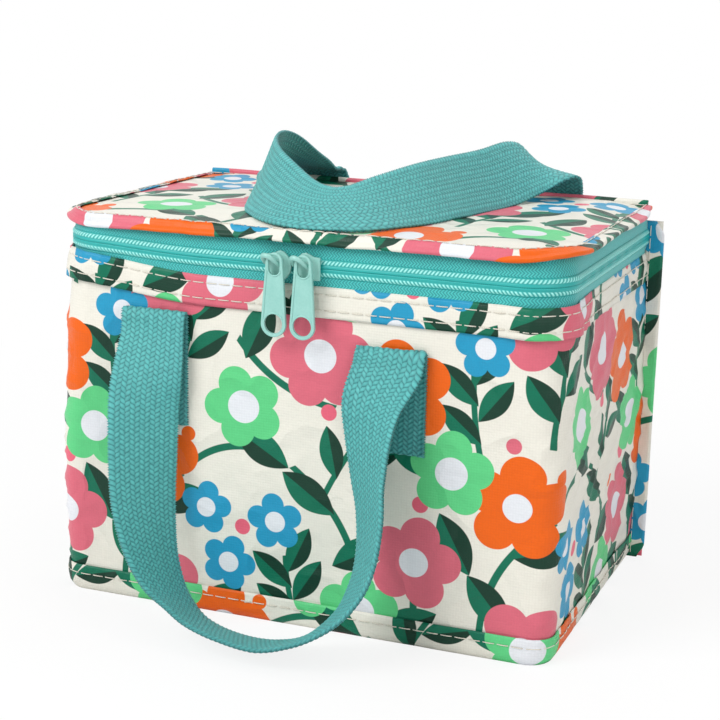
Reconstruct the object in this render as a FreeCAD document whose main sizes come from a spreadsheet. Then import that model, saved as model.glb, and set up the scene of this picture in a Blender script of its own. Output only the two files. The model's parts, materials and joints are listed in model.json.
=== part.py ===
import FreeCAD, Part
import math
import os
import Sketcher
from FreeCAD import Base

# Soft insulated lunch bag with a zipped lid and two webbing carry handles.
# Frame: millimetres, +Z up, the zip's pull tabs face -Y. The origin is the centre of
# the bottom panel's underside. "Out" is a distance outwards from the outer face of the
# walls, and is negative inside the bag.

doc = FreeCAD.newDocument("lunch_bag")

# ---------------------------------------------------------------- driving dimensions

SIZES = {
    # overall shape
    "width": 210.0,
    "depth": 140.0,
    "height": 160.0,
    "corner_radius": 18.0,
    # layers of the walls
    "shell_thick": 0.6,
    "foam_thick": 3.0,
    "lining_thick": 0.4,
    "layer_gap": 0.1,
    # bands, tapes and bindings
    "band_thick": 0.6,
    "hem_tall": 12.0,
    "bottom_band_tall": 11.0,
    "binding_reach": 8.0,
    "lid_rim_reach": 4.5,
    "lid_rim_thick": 2.4,
    "lid_rim_drop": 0.8,
    "ridge_thick": 2.0,
    "ridge_rise": 3.0,
    "zip_band_tall": 16.5,
    "coil_tall": 3.2,
    "coil_gap": 0.8,
    "coil_thick": 2.5,
    "coil_set_in": 0.5,
    "tape_thick": 0.6,
    "lower_tape_show": 3.5,
    # lid
    "hinge_drop": 5.5,
    # webbing handles
    "strap_wide": 27.0,
    "strap_thick": 1.6,
    "strap_patch_tall": 44.0,
    "strap_fold_drop": 38.0,
    "strap_hang_gap": 0.5,
    "strap_spacing": 100.5,
    "strap_offset": 10.25,
    "strap_over_ridge": 0.6,
    # zip sliders and their pulls
    "slider_wide": 11.0,
    "slider_tall": 12.0,
    "slider_plate": 1.3,
    "slider_gap": 0.3,
    "slider_web": 0.5,
    "slider_over_hem": 1.1,
    "slider_under_lid": 2.7,
    "bridge_wire": 1.6,
    "bridge_step": 1.8,
    "bridge_rise": 2.12,
    "pull_long": 33.0,
    "pull_wide": 10.5,
    "pull_neck": 7.0,
    "pull_thick": 1.4,
    "pull_eye": 4.8,
    "pull_eye_slot": 3.0,
    "pull_rim": 1.0,
    "pull_play": 0.2,
    "pull_hole": 7.6,
    "left_slider_at": -7.0,
    "right_slider_at": 5.0,
}

sheet = doc.addObject("Spreadsheet::Sheet", "dims")
for row, (word, value) in enumerate(SIZES.items(), start=1):
    sheet.set("A%d" % row, word)
    sheet.set("B%d" % row, "%g" % value)
    sheet.setAlias("B%d" % row, word)
doc.recompute()


def size(word):
    """A driving dimension, read back from the sheet."""
    return float(sheet.get(word))


# Derived levels and distances, written as expressions on the sheet.
HALF_WIDE = "dims.width / 2"
HALF_DEEP = "dims.depth / 2"
ZIP_BOTTOM = "(dims.height - dims.zip_band_tall)"
COIL_TOP = "(%s + 2 * dims.coil_tall + dims.coil_gap)" % ZIP_BOTTOM
HEM_TOP = "(%s - dims.lower_tape_show)" % ZIP_BOTTOM
HEM_BOTTOM = "(%s - dims.hem_tall)" % HEM_TOP
FOAM_OUT = "-(dims.shell_thick + dims.layer_gap)"
FOAM_IN = "-(dims.shell_thick + dims.layer_gap + dims.foam_thick)"
LINING_OUT = "-(dims.shell_thick + 2 * dims.layer_gap + dims.foam_thick)"
LINING_IN = "(%s - dims.lining_thick)" % LINING_OUT
TAPE_IN = "dims.layer_gap / 2"
TAPE_OUT = "(dims.layer_gap / 2 + dims.tape_thick)"
HEM_IN = "(%s + dims.layer_gap / 2)" % TAPE_OUT
HEM_OUT = "(%s + dims.band_thick)" % HEM_IN
HINGE_LEVEL = "(dims.height - dims.hinge_drop)"
LID_PANEL_FLOOR = "(dims.height - dims.shell_thick)"
LID_FOAM_FLOOR = "(%s - dims.layer_gap - dims.foam_thick)" % LID_PANEL_FLOOR
LID_UNDER = "(%s - dims.layer_gap - dims.lining_thick)" % LID_FOAM_FLOOR
# The channel of a corner binding straddles the back panel's edge.
CHANNEL_FRONT = "(%s - dims.shell_thick - dims.layer_gap - dims.band_thick)" % HALF_DEEP
SIDE_END = "(%s - dims.layer_gap)" % CHANNEL_FRONT

sub_parts = []


def value_of(expression):
    """The number that an expression on the sheet gives."""
    words = expression.replace("dims.", "")
    names = {word: size(word) for word in SIZES}
    for word in sorted(names, key=len, reverse=True):
        words = words.replace(word, repr(names[word]))
    return FreeCAD.Units.Quantity(words).Value


def finish(obj, label):
    """Give a finished sub-part its name and keep it for the export."""
    obj.Label = label
    sub_parts.append(obj)
    return obj


# ---------------------------------------------------------------- sketch helpers


def new_body(name):
    return doc.addObject("PartDesign::Body", name + "_body")


def plane_sketch(body, name, role, level=None):
    """A sketch on one of the body's own origin planes, moved along its normal."""
    sketch = body.newObject("Sketcher::SketchObject", name)
    plane = [item for item in body.Origin.OriginFeatures if item.Role == role][0]
    sketch.AttachmentSupport = [(plane, "")]
    sketch.MapMode = "FlatFace"
    if level:
        sketch.setExpression("AttachmentOffset.Base.z", level)
    return sketch


def constrain(sketch, kind, *arguments, to=None):
    """Add a constraint, bound to an expression where one is given."""
    index = sketch.addConstraint(Sketcher.Constraint(kind, *arguments))
    if to:
        sketch.setExpression("Constraints[%d]" % index, to)
    return index


def vector(x, y):
    return Base.Vector(x, y, 0)


def pad(body, sketch, name, length):
    feature = body.newObject("PartDesign::Pad", name)
    feature.Profile = sketch
    feature.setExpression("Length", length)
    feature.Midplane = False
    body.Tip = feature
    return feature


def rounded_front_line(sketch, out, back):
    """Left side, front and right side of the bag's plan, with two round corners.

    Draws line, arc, line, arc, line from the back left to the back right and returns
    the index of the first one.
    """
    reach_x = value_of(HALF_WIDE) + value_of(out)
    reach_y = value_of(HALF_DEEP) + value_of(out)
    radius = size("corner_radius") + value_of(out)
    end = value_of(back)
    inner_x = reach_x - radius
    inner_y = reach_y - radius
    first = sketch.addGeometry(Part.LineSegment(vector(-reach_x, end), vector(-reach_x, -inner_y)))
    left_circle = Part.Circle(vector(-inner_x, -inner_y), Base.Vector(0, 0, 1), radius)
    sketch.addGeometry(Part.ArcOfCircle(left_circle, math.pi, 1.5 * math.pi))
    sketch.addGeometry(Part.LineSegment(vector(-inner_x, -reach_y), vector(inner_x, -reach_y)))
    right_circle = Part.Circle(vector(inner_x, -inner_y), Base.Vector(0, 0, 1), radius)
    sketch.addGeometry(Part.ArcOfCircle(right_circle, 1.5 * math.pi, 2 * math.pi))
    sketch.addGeometry(Part.LineSegment(vector(reach_x, -inner_y), vector(reach_x, end)))
    left, corner_left, front, corner_right, right = range(first, first + 5)
    constrain(sketch, "Vertical", left)
    constrain(sketch, "Horizontal", front)
    constrain(sketch, "Vertical", right)
    constrain(sketch, "Tangent", left, 2, corner_left, 1)
    constrain(sketch, "Tangent", corner_left, 2, front, 1)
    constrain(sketch, "Tangent", front, 2, corner_right, 1)
    constrain(sketch, "Tangent", corner_right, 2, right, 1)
    constrain(sketch, "Symmetric", corner_left, 3, corner_right, 3, -2)
    constrain(sketch, "Radius", corner_left, radius, to="dims.corner_radius + " + out)
    constrain(sketch, "DistanceX", left, 1, -1, 1, reach_x, to="%s + %s" % (HALF_WIDE, out))
    constrain(sketch, "DistanceY", front, 2, -1, 1, reach_y, to="%s + %s" % (HALF_DEEP, out))
    constrain(sketch, "DistanceY", -1, 1, left, 1, end, to=back)
    constrain(sketch, "DistanceY", -1, 1, right, 2, end, to=back)
    return first


def wrapped_wall(label, outer, inner, bottom, tall, back):
    """A wall that wraps the left side, the front and the right side in one piece."""
    body = new_body(label)
    sketch = plane_sketch(body, label + "_plan", "XY_Plane", bottom)
    outside = rounded_front_line(sketch, outer, back)
    inside = rounded_front_line(sketch, inner, back)
    thick = value_of(outer) - value_of(inner)
    reach = value_of(HALF_WIDE) + value_of(outer)
    end = value_of(back)
    left_end = sketch.addGeometry(Part.LineSegment(vector(-reach, end), vector(thick - reach, end)))
    right_end = sketch.addGeometry(Part.LineSegment(vector(reach, end), vector(reach - thick, end)))
    constrain(sketch, "Coincident", left_end, 1, outside, 1)
    constrain(sketch, "Coincident", left_end, 2, inside, 1)
    constrain(sketch, "Coincident", right_end, 1, outside + 4, 2)
    constrain(sketch, "Coincident", right_end, 2, inside + 4, 2)
    pad(body, sketch, label + "_height", tall)
    return finish(body, label)


def rounded_slab(label, out, bottom, thick, back):
    """A flat layer of the bag's plan: round front corners, straight back edge."""
    body = new_body(label)
    sketch = plane_sketch(body, label + "_plan", "XY_Plane", bottom)
    outline = rounded_front_line(sketch, out, back)
    reach = value_of(HALF_WIDE) + value_of(out)
    end = value_of(back)
    edge = sketch.addGeometry(Part.LineSegment(vector(-reach, end), vector(reach, end)))
    constrain(sketch, "Coincident", edge, 1, outline, 1)
    constrain(sketch, "Coincident", edge, 2, outline + 4, 2)
    pad(body, sketch, label + "_thickness", thick)
    return finish(body, label)


def block(label, low, measures, keep=True):
    """A plain rectangular layer given by its low corner and its three measures."""
    box = doc.addObject("Part::Box", label + "_block")
    for side, expression in zip(("Length", "Width", "Height"), measures):
        box.setExpression(side, expression)
    for axis, expression in zip("xyz", low):
        box.setExpression("Placement.Base." + axis, expression)
    if keep:
        finish(box, label)
    return box


# ---------------------------------------------------------------- bottom of the bag

SHELL_BACK = "(%s - dims.shell_thick - dims.layer_gap)" % HALF_DEEP
FOAM_BACK = "(%s - dims.foam_thick - dims.layer_gap)" % SHELL_BACK
LINING_BACK = "(%s - dims.lining_thick - dims.layer_gap)" % FOAM_BACK
FOAM_FLOOR = "(dims.shell_thick + dims.layer_gap)"
LINING_FLOOR = "(%s + dims.foam_thick + dims.layer_gap)" % FOAM_FLOOR
LINING_WALL_FOOT = "(%s + dims.lining_thick + dims.layer_gap)" % LINING_FLOOR

rounded_slab("bottom_panel", "0", "0", "dims.shell_thick", HALF_DEEP)
rounded_slab("bottom_foam", FOAM_OUT, FOAM_FLOOR, "dims.foam_thick", SHELL_BACK)
rounded_slab("bottom_lining", LINING_OUT, LINING_FLOOR, "dims.lining_thick", FOAM_BACK)

# ---------------------------------------------------------------- walls

wrapped_wall("front_side_panel", "0", "-dims.shell_thick", FOAM_FLOOR,
             "%s - %s" % (HEM_TOP, FOAM_FLOOR), SHELL_BACK)
wrapped_wall("front_side_foam", FOAM_OUT, FOAM_IN, LINING_FLOOR,
             "%s - %s" % (HEM_TOP, LINING_FLOOR), FOAM_BACK)
wrapped_wall("front_side_lining", LINING_OUT, LINING_IN, LINING_WALL_FOOT,
             "%s - %s" % (HEM_TOP, LINING_WALL_FOOT), LINING_BACK)

BACK_TALL = "(%s - dims.layer_gap * 3)" % HINGE_LEVEL
EDGE_OUT = "(dims.binding_reach - dims.band_thick - dims.layer_gap)"

block("back_panel",
      ("-%s - %s" % (HALF_WIDE, EDGE_OUT), "%s - dims.shell_thick" % HALF_DEEP, FOAM_FLOOR),
      ("dims.width + 2 * %s" % EDGE_OUT, "dims.shell_thick", "%s - %s" % (BACK_TALL, FOAM_FLOOR)))
block("back_foam",
      ("-%s - %s" % (HALF_WIDE, FOAM_OUT), "%s - dims.foam_thick" % SHELL_BACK, LINING_FLOOR),
      ("dims.width + 2 * (%s)" % FOAM_OUT, "dims.foam_thick", "%s - %s" % (HEM_TOP, LINING_FLOOR)))
block("back_lining",
      ("-%s - %s" % (HALF_WIDE, LINING_OUT), "%s - dims.lining_thick" % FOAM_BACK,
       LINING_WALL_FOOT),
      ("dims.width + 2 * (%s)" % LINING_OUT, "dims.lining_thick",
       "%s - %s" % (HEM_TOP, LINING_WALL_FOOT)))

# ---------------------------------------------------------------- bindings of the bag

wrapped_wall("bottom_binding", "dims.layer_gap + dims.band_thick", "dims.layer_gap", "0",
             "dims.bottom_band_tall", SIDE_END)
wrapped_wall("top_hem", HEM_OUT, HEM_IN, HEM_BOTTOM, "dims.hem_tall", SIDE_END)
block("back_bottom_binding",
      ("-%s" % HALF_WIDE, "%s + dims.layer_gap" % HALF_DEEP, "0"),
      ("dims.width", "dims.band_thick", "dims.bottom_band_tall"))


def corner_binding(label, side):
    """A folded strip over the seam between a side wall and the back panel.

    Its section is a channel whose open side faces the bag; the back panel's edge
    stands in it. The last side of its outline closes on the first corner.
    """
    body = new_body(label)
    sketch = plane_sketch(body, label + "_section", "XY_Plane")
    near = value_of(HALF_WIDE) + size("layer_gap")
    far = value_of(HALF_WIDE) + size("binding_reach")
    wall = size("band_thick")
    slot_front = value_of(CHANNEL_FRONT) + wall
    slot_back = slot_front + size("shell_thick") + 2 * size("layer_gap")
    corners = [
        (near, slot_front - wall),
        (far, slot_front - wall),
        (far, slot_back + wall),
        (near, slot_back + wall),
        (near, slot_back),
        (far - wall, slot_back),
        (far - wall, slot_front),
        (near, slot_front),
    ]
    count = len(corners)
    for index in range(count):
        start = corners[index]
        stop = corners[(index + 1) % count]
        sketch.addGeometry(Part.LineSegment(vector(side * start[0], start[1]),
                                            vector(side * stop[0], stop[1])))
    for index in range(count):
        constrain(sketch, "Coincident", index, 2, (index + 1) % count, 1)
        constrain(sketch, "Horizontal" if index % 2 == 0 else "Vertical", index)
    constrain(sketch, "Vertical", 3, 1, 0, 1)
    from_axis = (-1, 1) if side > 0 else (0, 1)
    to_corner = (0, 1) if side > 0 else (-1, 1)
    constrain(sketch, "DistanceX", *from_axis, *to_corner, near,
              to="%s + dims.layer_gap" % HALF_WIDE)
    across = (0, 1, 0, 2) if side > 0 else (0, 2, 0, 1)
    constrain(sketch, "DistanceX", *across, far - near, to="dims.binding_reach - dims.layer_gap")
    inside = (5, 2, 1, 2) if side > 0 else (1, 2, 5, 2)
    constrain(sketch, "DistanceX", *inside, wall, to="dims.band_thick")
    constrain(sketch, "DistanceY", -1, 1, 0, 1, corners[0][1], to=CHANNEL_FRONT)
    constrain(sketch, "DistanceY", 0, 1, 7, 1, wall, to="dims.band_thick")
    constrain(sketch, "DistanceY", 7, 1, 4, 1, slot_back - slot_front,
              to="dims.shell_thick + 2 * dims.layer_gap")
    constrain(sketch, "DistanceY", 4, 1, 3, 1, wall, to="dims.band_thick")
    pad(body, sketch, label + "_height", BACK_TALL)
    return finish(body, label)


corner_binding("left_corner_binding", -1)
corner_binding("right_corner_binding", 1)

# ---------------------------------------------------------------- zip

wrapped_wall("lower_zip_tape", TAPE_OUT, TAPE_IN, HEM_BOTTOM,
             "%s - dims.layer_gap - %s" % (ZIP_BOTTOM, HEM_BOTTOM), SIDE_END)
COIL_OUT = "(dims.coil_thick - dims.coil_set_in)"
UPPER_COIL_BOTTOM = "(%s + dims.coil_tall + dims.coil_gap)" % ZIP_BOTTOM
wrapped_wall("lower_zip_coil", COIL_OUT, "-dims.coil_set_in", ZIP_BOTTOM, "dims.coil_tall",
             SIDE_END)
wrapped_wall("upper_zip_coil", COIL_OUT, "-dims.coil_set_in", UPPER_COIL_BOTTOM,
             "dims.coil_tall", SIDE_END)
wrapped_wall("upper_zip_tape", TAPE_OUT, TAPE_IN, "%s + dims.layer_gap" % COIL_TOP,
             "dims.height - dims.lid_rim_drop - dims.layer_gap - %s" % COIL_TOP, SIDE_END)

# ---------------------------------------------------------------- lid

LID_BACK = "(%s - dims.ridge_thick / 2 - dims.layer_gap)" % HALF_DEEP

rounded_slab("lid_lining", "0", LID_UNDER, "dims.lining_thick", LID_BACK)
rounded_slab("lid_foam", "0", LID_FOAM_FLOOR, "dims.foam_thick", LID_BACK)
rounded_slab("lid_panel", "0", LID_PANEL_FLOOR, "dims.shell_thick", LID_BACK)
wrapped_wall("lid_binding", "%s + dims.lid_rim_reach" % HEM_IN, HEM_IN,
             "dims.height - dims.lid_rim_drop - dims.lid_rim_thick", "dims.lid_rim_thick", SIDE_END)
block("lid_back_ridge",
      ("-%s" % HALF_WIDE, "%s - dims.ridge_thick / 2" % HALF_DEEP,
       "%s + dims.layer_gap * 2" % HINGE_LEVEL),
      ("dims.width", "dims.ridge_thick", "dims.hinge_drop + dims.ridge_rise - dims.layer_gap * 2"))

# ---------------------------------------------------------------- webbing handles

FOLD_LEVEL = "(dims.height - dims.strap_fold_drop)"


def strap_end_pair(label, face, mirror, tall):
    """Both sewn ends of one handle: flat webbing patches on a wall."""
    ends = []
    for name, side in (("left", -1), ("right", 1)):
        centre = "(%d * (%d * dims.strap_spacing / 2 - dims.strap_offset))" % (mirror, side)
        ends.append(block("%s_%s" % (label, name),
                          ("%s - dims.strap_wide / 2" % centre, face,
                           "%s - dims.strap_patch_tall" % FOLD_LEVEL),
                          ("dims.strap_wide", "dims.strap_thick", tall), keep=False))
    pair = doc.addObject("Part::Compound", label)
    pair.Links = ends
    return finish(pair, label)


strap_end_pair("front_strap_ends", "-%s - dims.layer_gap - dims.strap_thick" % HALF_DEEP, 1,
               "dims.strap_patch_tall")
REAR_RISE = "(%s - 2 * dims.hinge_drop - %s)" % (HINGE_LEVEL, FOLD_LEVEL)
strap_end_pair("rear_strap_ends", "%s + dims.layer_gap" % HALF_DEEP, -1,
               "dims.strap_patch_tall + %s" % REAR_RISE)


def band(label, stations):
    """A flat band of webbing through stations of (centre, direction across it).

    Each station's section is a rectangle, square to the way the band runs there.
    """
    half_wide = size("strap_wide") / 2
    half_thick = size("strap_thick") / 2
    centres = [Base.Vector(*centre) for centre, across in stations]
    sections = []
    for index, (centre, across) in enumerate(stations):
        before = centres[max(index - 1, 0)]
        after = centres[min(index + 1, len(centres) - 1)]
        along = (after - before).normalize()
        wide = Base.Vector(*across)
        wide = (wide - along * wide.dot(along)).normalize() * half_wide
        face = along.cross(wide).normalize() * half_thick
        corners = [wide + face, face - wide, -wide - face, wide - face]
        sections.append([centres[index] + corner for corner in corners])
    rings = [end + end[:1] for end in (sections[0], sections[-1])]
    for here, there in zip(sections, sections[1:]):
        for corner in range(4):
            rings.append([here[corner - 1], here[corner], there[corner], here[corner - 1]])
            rings.append([here[corner - 1], there[corner], there[corner - 1], here[corner - 1]])
    sides = [Part.Face(Part.makePolygon(ring)) for ring in rings]
    shell = Part.makeShell(sides)
    shell.sewShape()
    solid = Part.makeSolid(shell)
    if solid.Volume < 0:
        solid.reverse()
    feature = doc.addObject("Part::Feature", label + "_band")
    feature.Shape = solid
    return finish(feature, label)


def front_strap():
    """The front handle hangs as a U. Each leg turns as it falls, so that the bend
    stands out from the bag with its far edge on the ground.
    """
    half = size("strap_wide") / 2
    face = -size("depth") / 2
    fold = size("height") - size("strap_fold_drop")
    hang = face - size("layer_gap") - 1.5 * size("strap_thick") - size("strap_hang_gap")
    turned = hang - 0.4 * half
    left = -size("strap_spacing") / 2 - size("strap_offset")
    right = size("strap_spacing") / 2 - size("strap_offset")
    lying = 0.27 * half + size("strap_thick") / 2 + 0.8
    stations = [
        ((left, hang, fold), (1, 0, 0)),
        ((left, hang - 0.2, fold - 5), (1, 0, 0)),
        ((left + 0.3, turned, fold - 22), (0.93, 0.37, 0)),
        ((left + 0.2, turned - 4.5, fold - 34), (0.85, 0.53, 0)),
        ((left + 1.5, turned - 8, 0.56 * fold), (0.74, 0.67, 0)),
        ((left + 3.5, turned - 11.5, 0.41 * fold), (0.6, 0.8, -0.05)),
        ((left + 8.5, turned - 15.5, 0.27 * fold), (0.35, 0.93, -0.1)),
        ((left + 15, turned - 18.5, 21.5), (0.1, 0.98, -0.1)),
        ((left + 23, turned - 20.5, 13.5), (-0.1, 0.98, -0.2)),
        ((left + 33, turned - 23, lying + 2.7), (-0.2, 0.95, -0.26)),
        ((left + 48, turned - 25.5, lying), (-0.25, 0.93, -0.27)),
        ((right - 35.5, turned - 26.5, lying), (-0.28, 0.93, -0.25)),
        ((right - 22, turned - 25, lying + 3.8), (-0.34, 0.89, -0.33)),
        ((right - 9.5, turned - 22, 19.0), (-0.42, 0.87, -0.27)),
        ((right - 3, turned - 18.5, 0.246 * fold), (-0.5, 0.84, -0.2)),
        ((right - 0.2, turned - 15.5, 0.344 * fold), (-0.56, 0.82, -0.1)),
        ((right - 0.4, turned - 12, 0.467 * fold), (-0.64, 0.77, 0)),
        ((right - 2.8, turned - 8.5, 0.582 * fold), (-0.72, 0.69, 0)),
        ((right - 4.5, turned - 5, fold - 36), (-0.84, 0.54, 0)),
        ((right - 4.5, turned, fold - 23), (-0.93, 0.37, 0)),
        ((right - 0.5, hang - 0.4, fold - 7), (-1, 0, 0)),
        ((right, hang, fold), (-1, 0, 0)),
    ]
    return band("front_strap", stations)


def rear_strap():
    """The rear handle comes over the back edge and stands on the lid on its outer edge.

    Its right leg makes a steep crest before it comes forward.
    """
    top = size("height")
    rest = top + 0.35 * size("strap_wide") - 0.5
    over_ridge = top + size("ridge_rise") + size("strap_thick") / 2 + size("strap_over_ridge")
    back = size("depth") / 2 - size("ridge_thick") / 2 - 5.0
    right = size("strap_spacing") / 2 + size("strap_offset")
    left = -size("strap_spacing") / 2 - 3.25
    stations = [
        ((right, back, over_ridge), (1, 0, 0)),
        ((right, back - 0.5, rest + 1), (0.99, 0, -0.1)),
        ((right - 1, back - 4, rest + 5), (0.95, 0, -0.3)),
        ((right - 6, back - 13, rest + 6.8), (0.78, 0, -0.62)),
        ((right - 13.5, back - 34, rest + 4), (0.62, -0.1, -0.77)),
        ((right - 20, back - 58, rest + 3.2), (0.64, -0.1, -0.76)),
        ((right - 25, back - 82, rest + 2.8), (0.68, -0.18, -0.7)),
        ((right - 32, back - 100, rest + 1.3), (0.72, -0.3, -0.62)),
        ((right - 40, back - 114, rest), (0.7, -0.5, -0.5)),
        ((right - 49.5, back - 119.8, rest - 1), (0.42, -0.78, -0.46)),
        ((left + 54, back - 121, rest - 1.2), (0.08, -0.88, -0.45)),
        ((left + 42, back - 115.5, rest - 0.7), (-0.22, -0.84, -0.48)),
        ((left + 30.5, back - 104, rest + 0.8), (-0.42, -0.7, -0.58)),
        ((left + 17, back - 86, rest + 3.3), (-0.5, -0.42, -0.75)),
        ((left + 6.5, back - 62, rest + 4.8), (-0.5, -0.15, -0.84)),
        ((left, back - 40, rest + 6.2), (-0.6, 0, -0.8)),
        ((left - 1.5, back - 21, rest + 3.2), (-0.85, 0, -0.45)),
        ((left - 0.5, back - 7.5, rest), (-0.97, 0, -0.2)),
        ((left, back, over_ridge), (-1, 0, 0)),
    ]
    return band("rear_strap", stations)


front_strap()
rear_strap()

# ---------------------------------------------------------------- zip sliders and pulls

BAR_LEVEL = "(%s + dims.coil_tall + dims.coil_gap + dims.bridge_rise)" % ZIP_BOTTOM


def eye_above_bar():
    """How high the pull's eye reaches above the line it swings about."""
    return 1.5 * size("bridge_wire") - size("pull_play")


def slider_distances():
    """How far out the slider's plate and the line that the pull swings about lie."""
    plate_in = value_of(COIL_OUT) + size("slider_gap")
    plate_out = plate_in + size("slider_plate")
    swing_line = plate_out + eye_above_bar() + size("pull_rim") + size("pull_play")
    return plate_in, plate_out, swing_line


def slider(label, at):
    """A cast zip slider: outer and inner plate, the web between them, and a bridge.

    The bridge is a round wire. It runs in front of the pull's left rim, crosses
    through the pull's eye and returns to the plate behind the pull, so the pull can
    swing out without meeting it.
    """
    plate_in, plate_out, swing_line = slider_distances()
    face = -size("depth") / 2
    wide = size("slider_wide")
    tall = size("slider_tall")
    plate = size("slider_plate")
    gap = size("slider_gap")
    x = size(at)
    centre = value_of(ZIP_BOTTOM) + size("coil_tall") + size("coil_gap") / 2
    bottom = centre - tall / 2
    outer = Part.makeBox(wide, plate, tall, Base.Vector(x - wide / 2, face - plate_out, bottom))
    inner_out = size("coil_set_in") + gap
    inner_bottom = value_of(HEM_TOP) + size("slider_over_hem")
    inner_top = value_of(LID_UNDER) - size("slider_under_lid")
    inner = Part.makeBox(wide, plate, inner_top - inner_bottom,
                         Base.Vector(x - wide / 2, face + inner_out, inner_bottom))
    web = Part.makeBox(wide / 3, plate_out + inner_out, size("slider_web"),
                       Base.Vector(x - wide / 6, face - plate_out, centre - size("slider_web") / 2))
    shelf_top = value_of(ZIP_BOTTOM) - gap
    shelf_bottom = inner_bottom + plate / 2
    tape_out = value_of(TAPE_OUT) + gap
    shelf = Part.makeBox(wide, plate_in - tape_out, shelf_top - shelf_bottom,
                         Base.Vector(x - wide / 2, face - plate_in, shelf_bottom))
    wire = size("bridge_wire") / 2
    level = value_of(BAR_LEVEL)
    step = size("bridge_step")
    left_x = x - size("pull_neck") / 2 - 2 * size("pull_play") - wire
    foot_y = face - plate_out + wire / 2
    front_y = face - swing_line - step
    behind_y = face - swing_line + step
    points = [
        Base.Vector(left_x, foot_y, level + step),
        Base.Vector(left_x, front_y, level + step),
        Base.Vector(x - size("pull_eye") / 4, front_y, level + step),
        Base.Vector(x + size("pull_eye") / 4, behind_y, level - step),
        Base.Vector(x + size("pull_eye") / 4, foot_y, level - step),
    ]
    foot = Part.Wire(Part.Circle(points[0], Base.Vector(0, 1, 0), wire).toShape())
    bridge = Part.makePolygon(points).makePipeShell([foot], True, False, 2)
    feature = doc.addObject("Part::Feature", label + "_casting")
    feature.Shape = outer.fuse([inner, web, shelf, bridge])
    feature.Placement = FreeCAD.Placement()
    return finish(feature, label)


def pull(label, at):
    """A flat pull tab that widens downwards, with an eye at its top and a round hole."""
    plate_in, plate_out, swing_line = slider_distances()
    thick = size("pull_thick")
    y = -size("depth") / 2 - swing_line + thick / 2
    x = size(at)
    eye = size("pull_eye") / 2
    eye_top = value_of(BAR_LEVEL) + eye_above_bar()
    top = eye_top + size("pull_rim")
    bottom = top - size("pull_long")
    neck = size("pull_neck") / 2
    half = size("pull_wide") / 2
    corners = [(x - neck, top), (x + neck, top), (x + half, bottom), (x - half, bottom)]
    points = [Base.Vector(px, y, pz) for px, pz in corners]
    blank = Part.Face(Part.makePolygon(points + points[:1]))
    tab = blank.extrude(Base.Vector(0, -thick, 0))
    upright = [edge for edge in tab.Edges if abs(edge.tangentAt(0).y) > 0.9]
    tab = tab.makeFillet(neck / 2, upright)
    out = Base.Vector(0, -1, 0)
    high = Base.Vector(x, y, eye_top - eye)
    low = Base.Vector(x, y, high.z - size("pull_eye_slot"))
    hole = Base.Vector(x, y, bottom + size("pull_hole") / 2 + 1.5 * size("pull_rim"))
    tools = [
        Part.makeCylinder(eye, thick, high, out),
        Part.makeCylinder(eye, thick, low, out),
        Part.makeBox(2 * eye, thick, high.z - low.z, Base.Vector(x - eye, y - thick, low.z)),
        Part.makeCylinder(size("pull_hole") / 2, thick, hole, out),
    ]
    feature = doc.addObject("Part::Feature", label + "_tab")
    feature.Shape = tab.cut(tools)
    feature.Placement = FreeCAD.Placement()
    return finish(feature, label)


for hand in ("left", "right"):
    slider(hand + "_slider", hand + "_slider_at")
    pull(hand + "_pull", hand + "_slider_at")

# ---------------------------------------------------------------- check and export

doc.recompute()
for obj in doc.Objects:
    if "Invalid" in obj.State or "Error" in obj.State:
        raise RuntimeError("%s failed: %s" % (obj.Name, obj.State))
os.makedirs("parts", exist_ok=True)
for obj in sub_parts:
    shape = obj.Shape
    if shape.isNull() or not shape.isValid():
        raise RuntimeError("%s has a bad shape" % obj.Label)
    print("%-22s solids %d volume %.1f mm3" % (obj.Label, len(shape.Solids), shape.Volume))
    shape.exportStep("parts/%s.step" % obj.Label)
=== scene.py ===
import json
import math

import bmesh
import bpy
from mathutils import Matrix, Vector, noise


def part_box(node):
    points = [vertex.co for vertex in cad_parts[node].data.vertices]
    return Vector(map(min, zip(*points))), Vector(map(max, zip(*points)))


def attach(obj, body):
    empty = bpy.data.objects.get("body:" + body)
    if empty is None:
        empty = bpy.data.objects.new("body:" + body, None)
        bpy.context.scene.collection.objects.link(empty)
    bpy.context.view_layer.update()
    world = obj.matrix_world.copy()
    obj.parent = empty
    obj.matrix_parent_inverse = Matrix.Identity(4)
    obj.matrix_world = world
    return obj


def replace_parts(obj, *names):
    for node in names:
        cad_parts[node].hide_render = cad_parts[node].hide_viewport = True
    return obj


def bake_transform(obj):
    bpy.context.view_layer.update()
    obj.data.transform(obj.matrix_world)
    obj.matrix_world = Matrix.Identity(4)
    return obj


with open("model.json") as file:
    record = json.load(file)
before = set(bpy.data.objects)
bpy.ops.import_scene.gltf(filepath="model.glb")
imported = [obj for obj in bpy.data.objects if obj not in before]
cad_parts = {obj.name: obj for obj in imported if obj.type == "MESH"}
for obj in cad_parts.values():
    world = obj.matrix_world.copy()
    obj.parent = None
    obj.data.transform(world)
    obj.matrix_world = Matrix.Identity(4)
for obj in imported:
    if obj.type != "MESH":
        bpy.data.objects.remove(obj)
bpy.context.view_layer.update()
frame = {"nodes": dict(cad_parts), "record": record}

# ---- Camera -------------------------------------------------------------------
# A long lens a little above the bag and to the right of its front, turned a degree
# or so on its own axis.

MM = 0.001
LOOK_AT = Vector((-0.4, -0.5, 95)) * MM
CAMERA_TURN = math.radians(20.98)
CAMERA_RISE = math.radians(13.45)
CAMERA_ROLL = math.radians(1.43)
CAMERA_AWAY = 733 * MM

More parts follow.
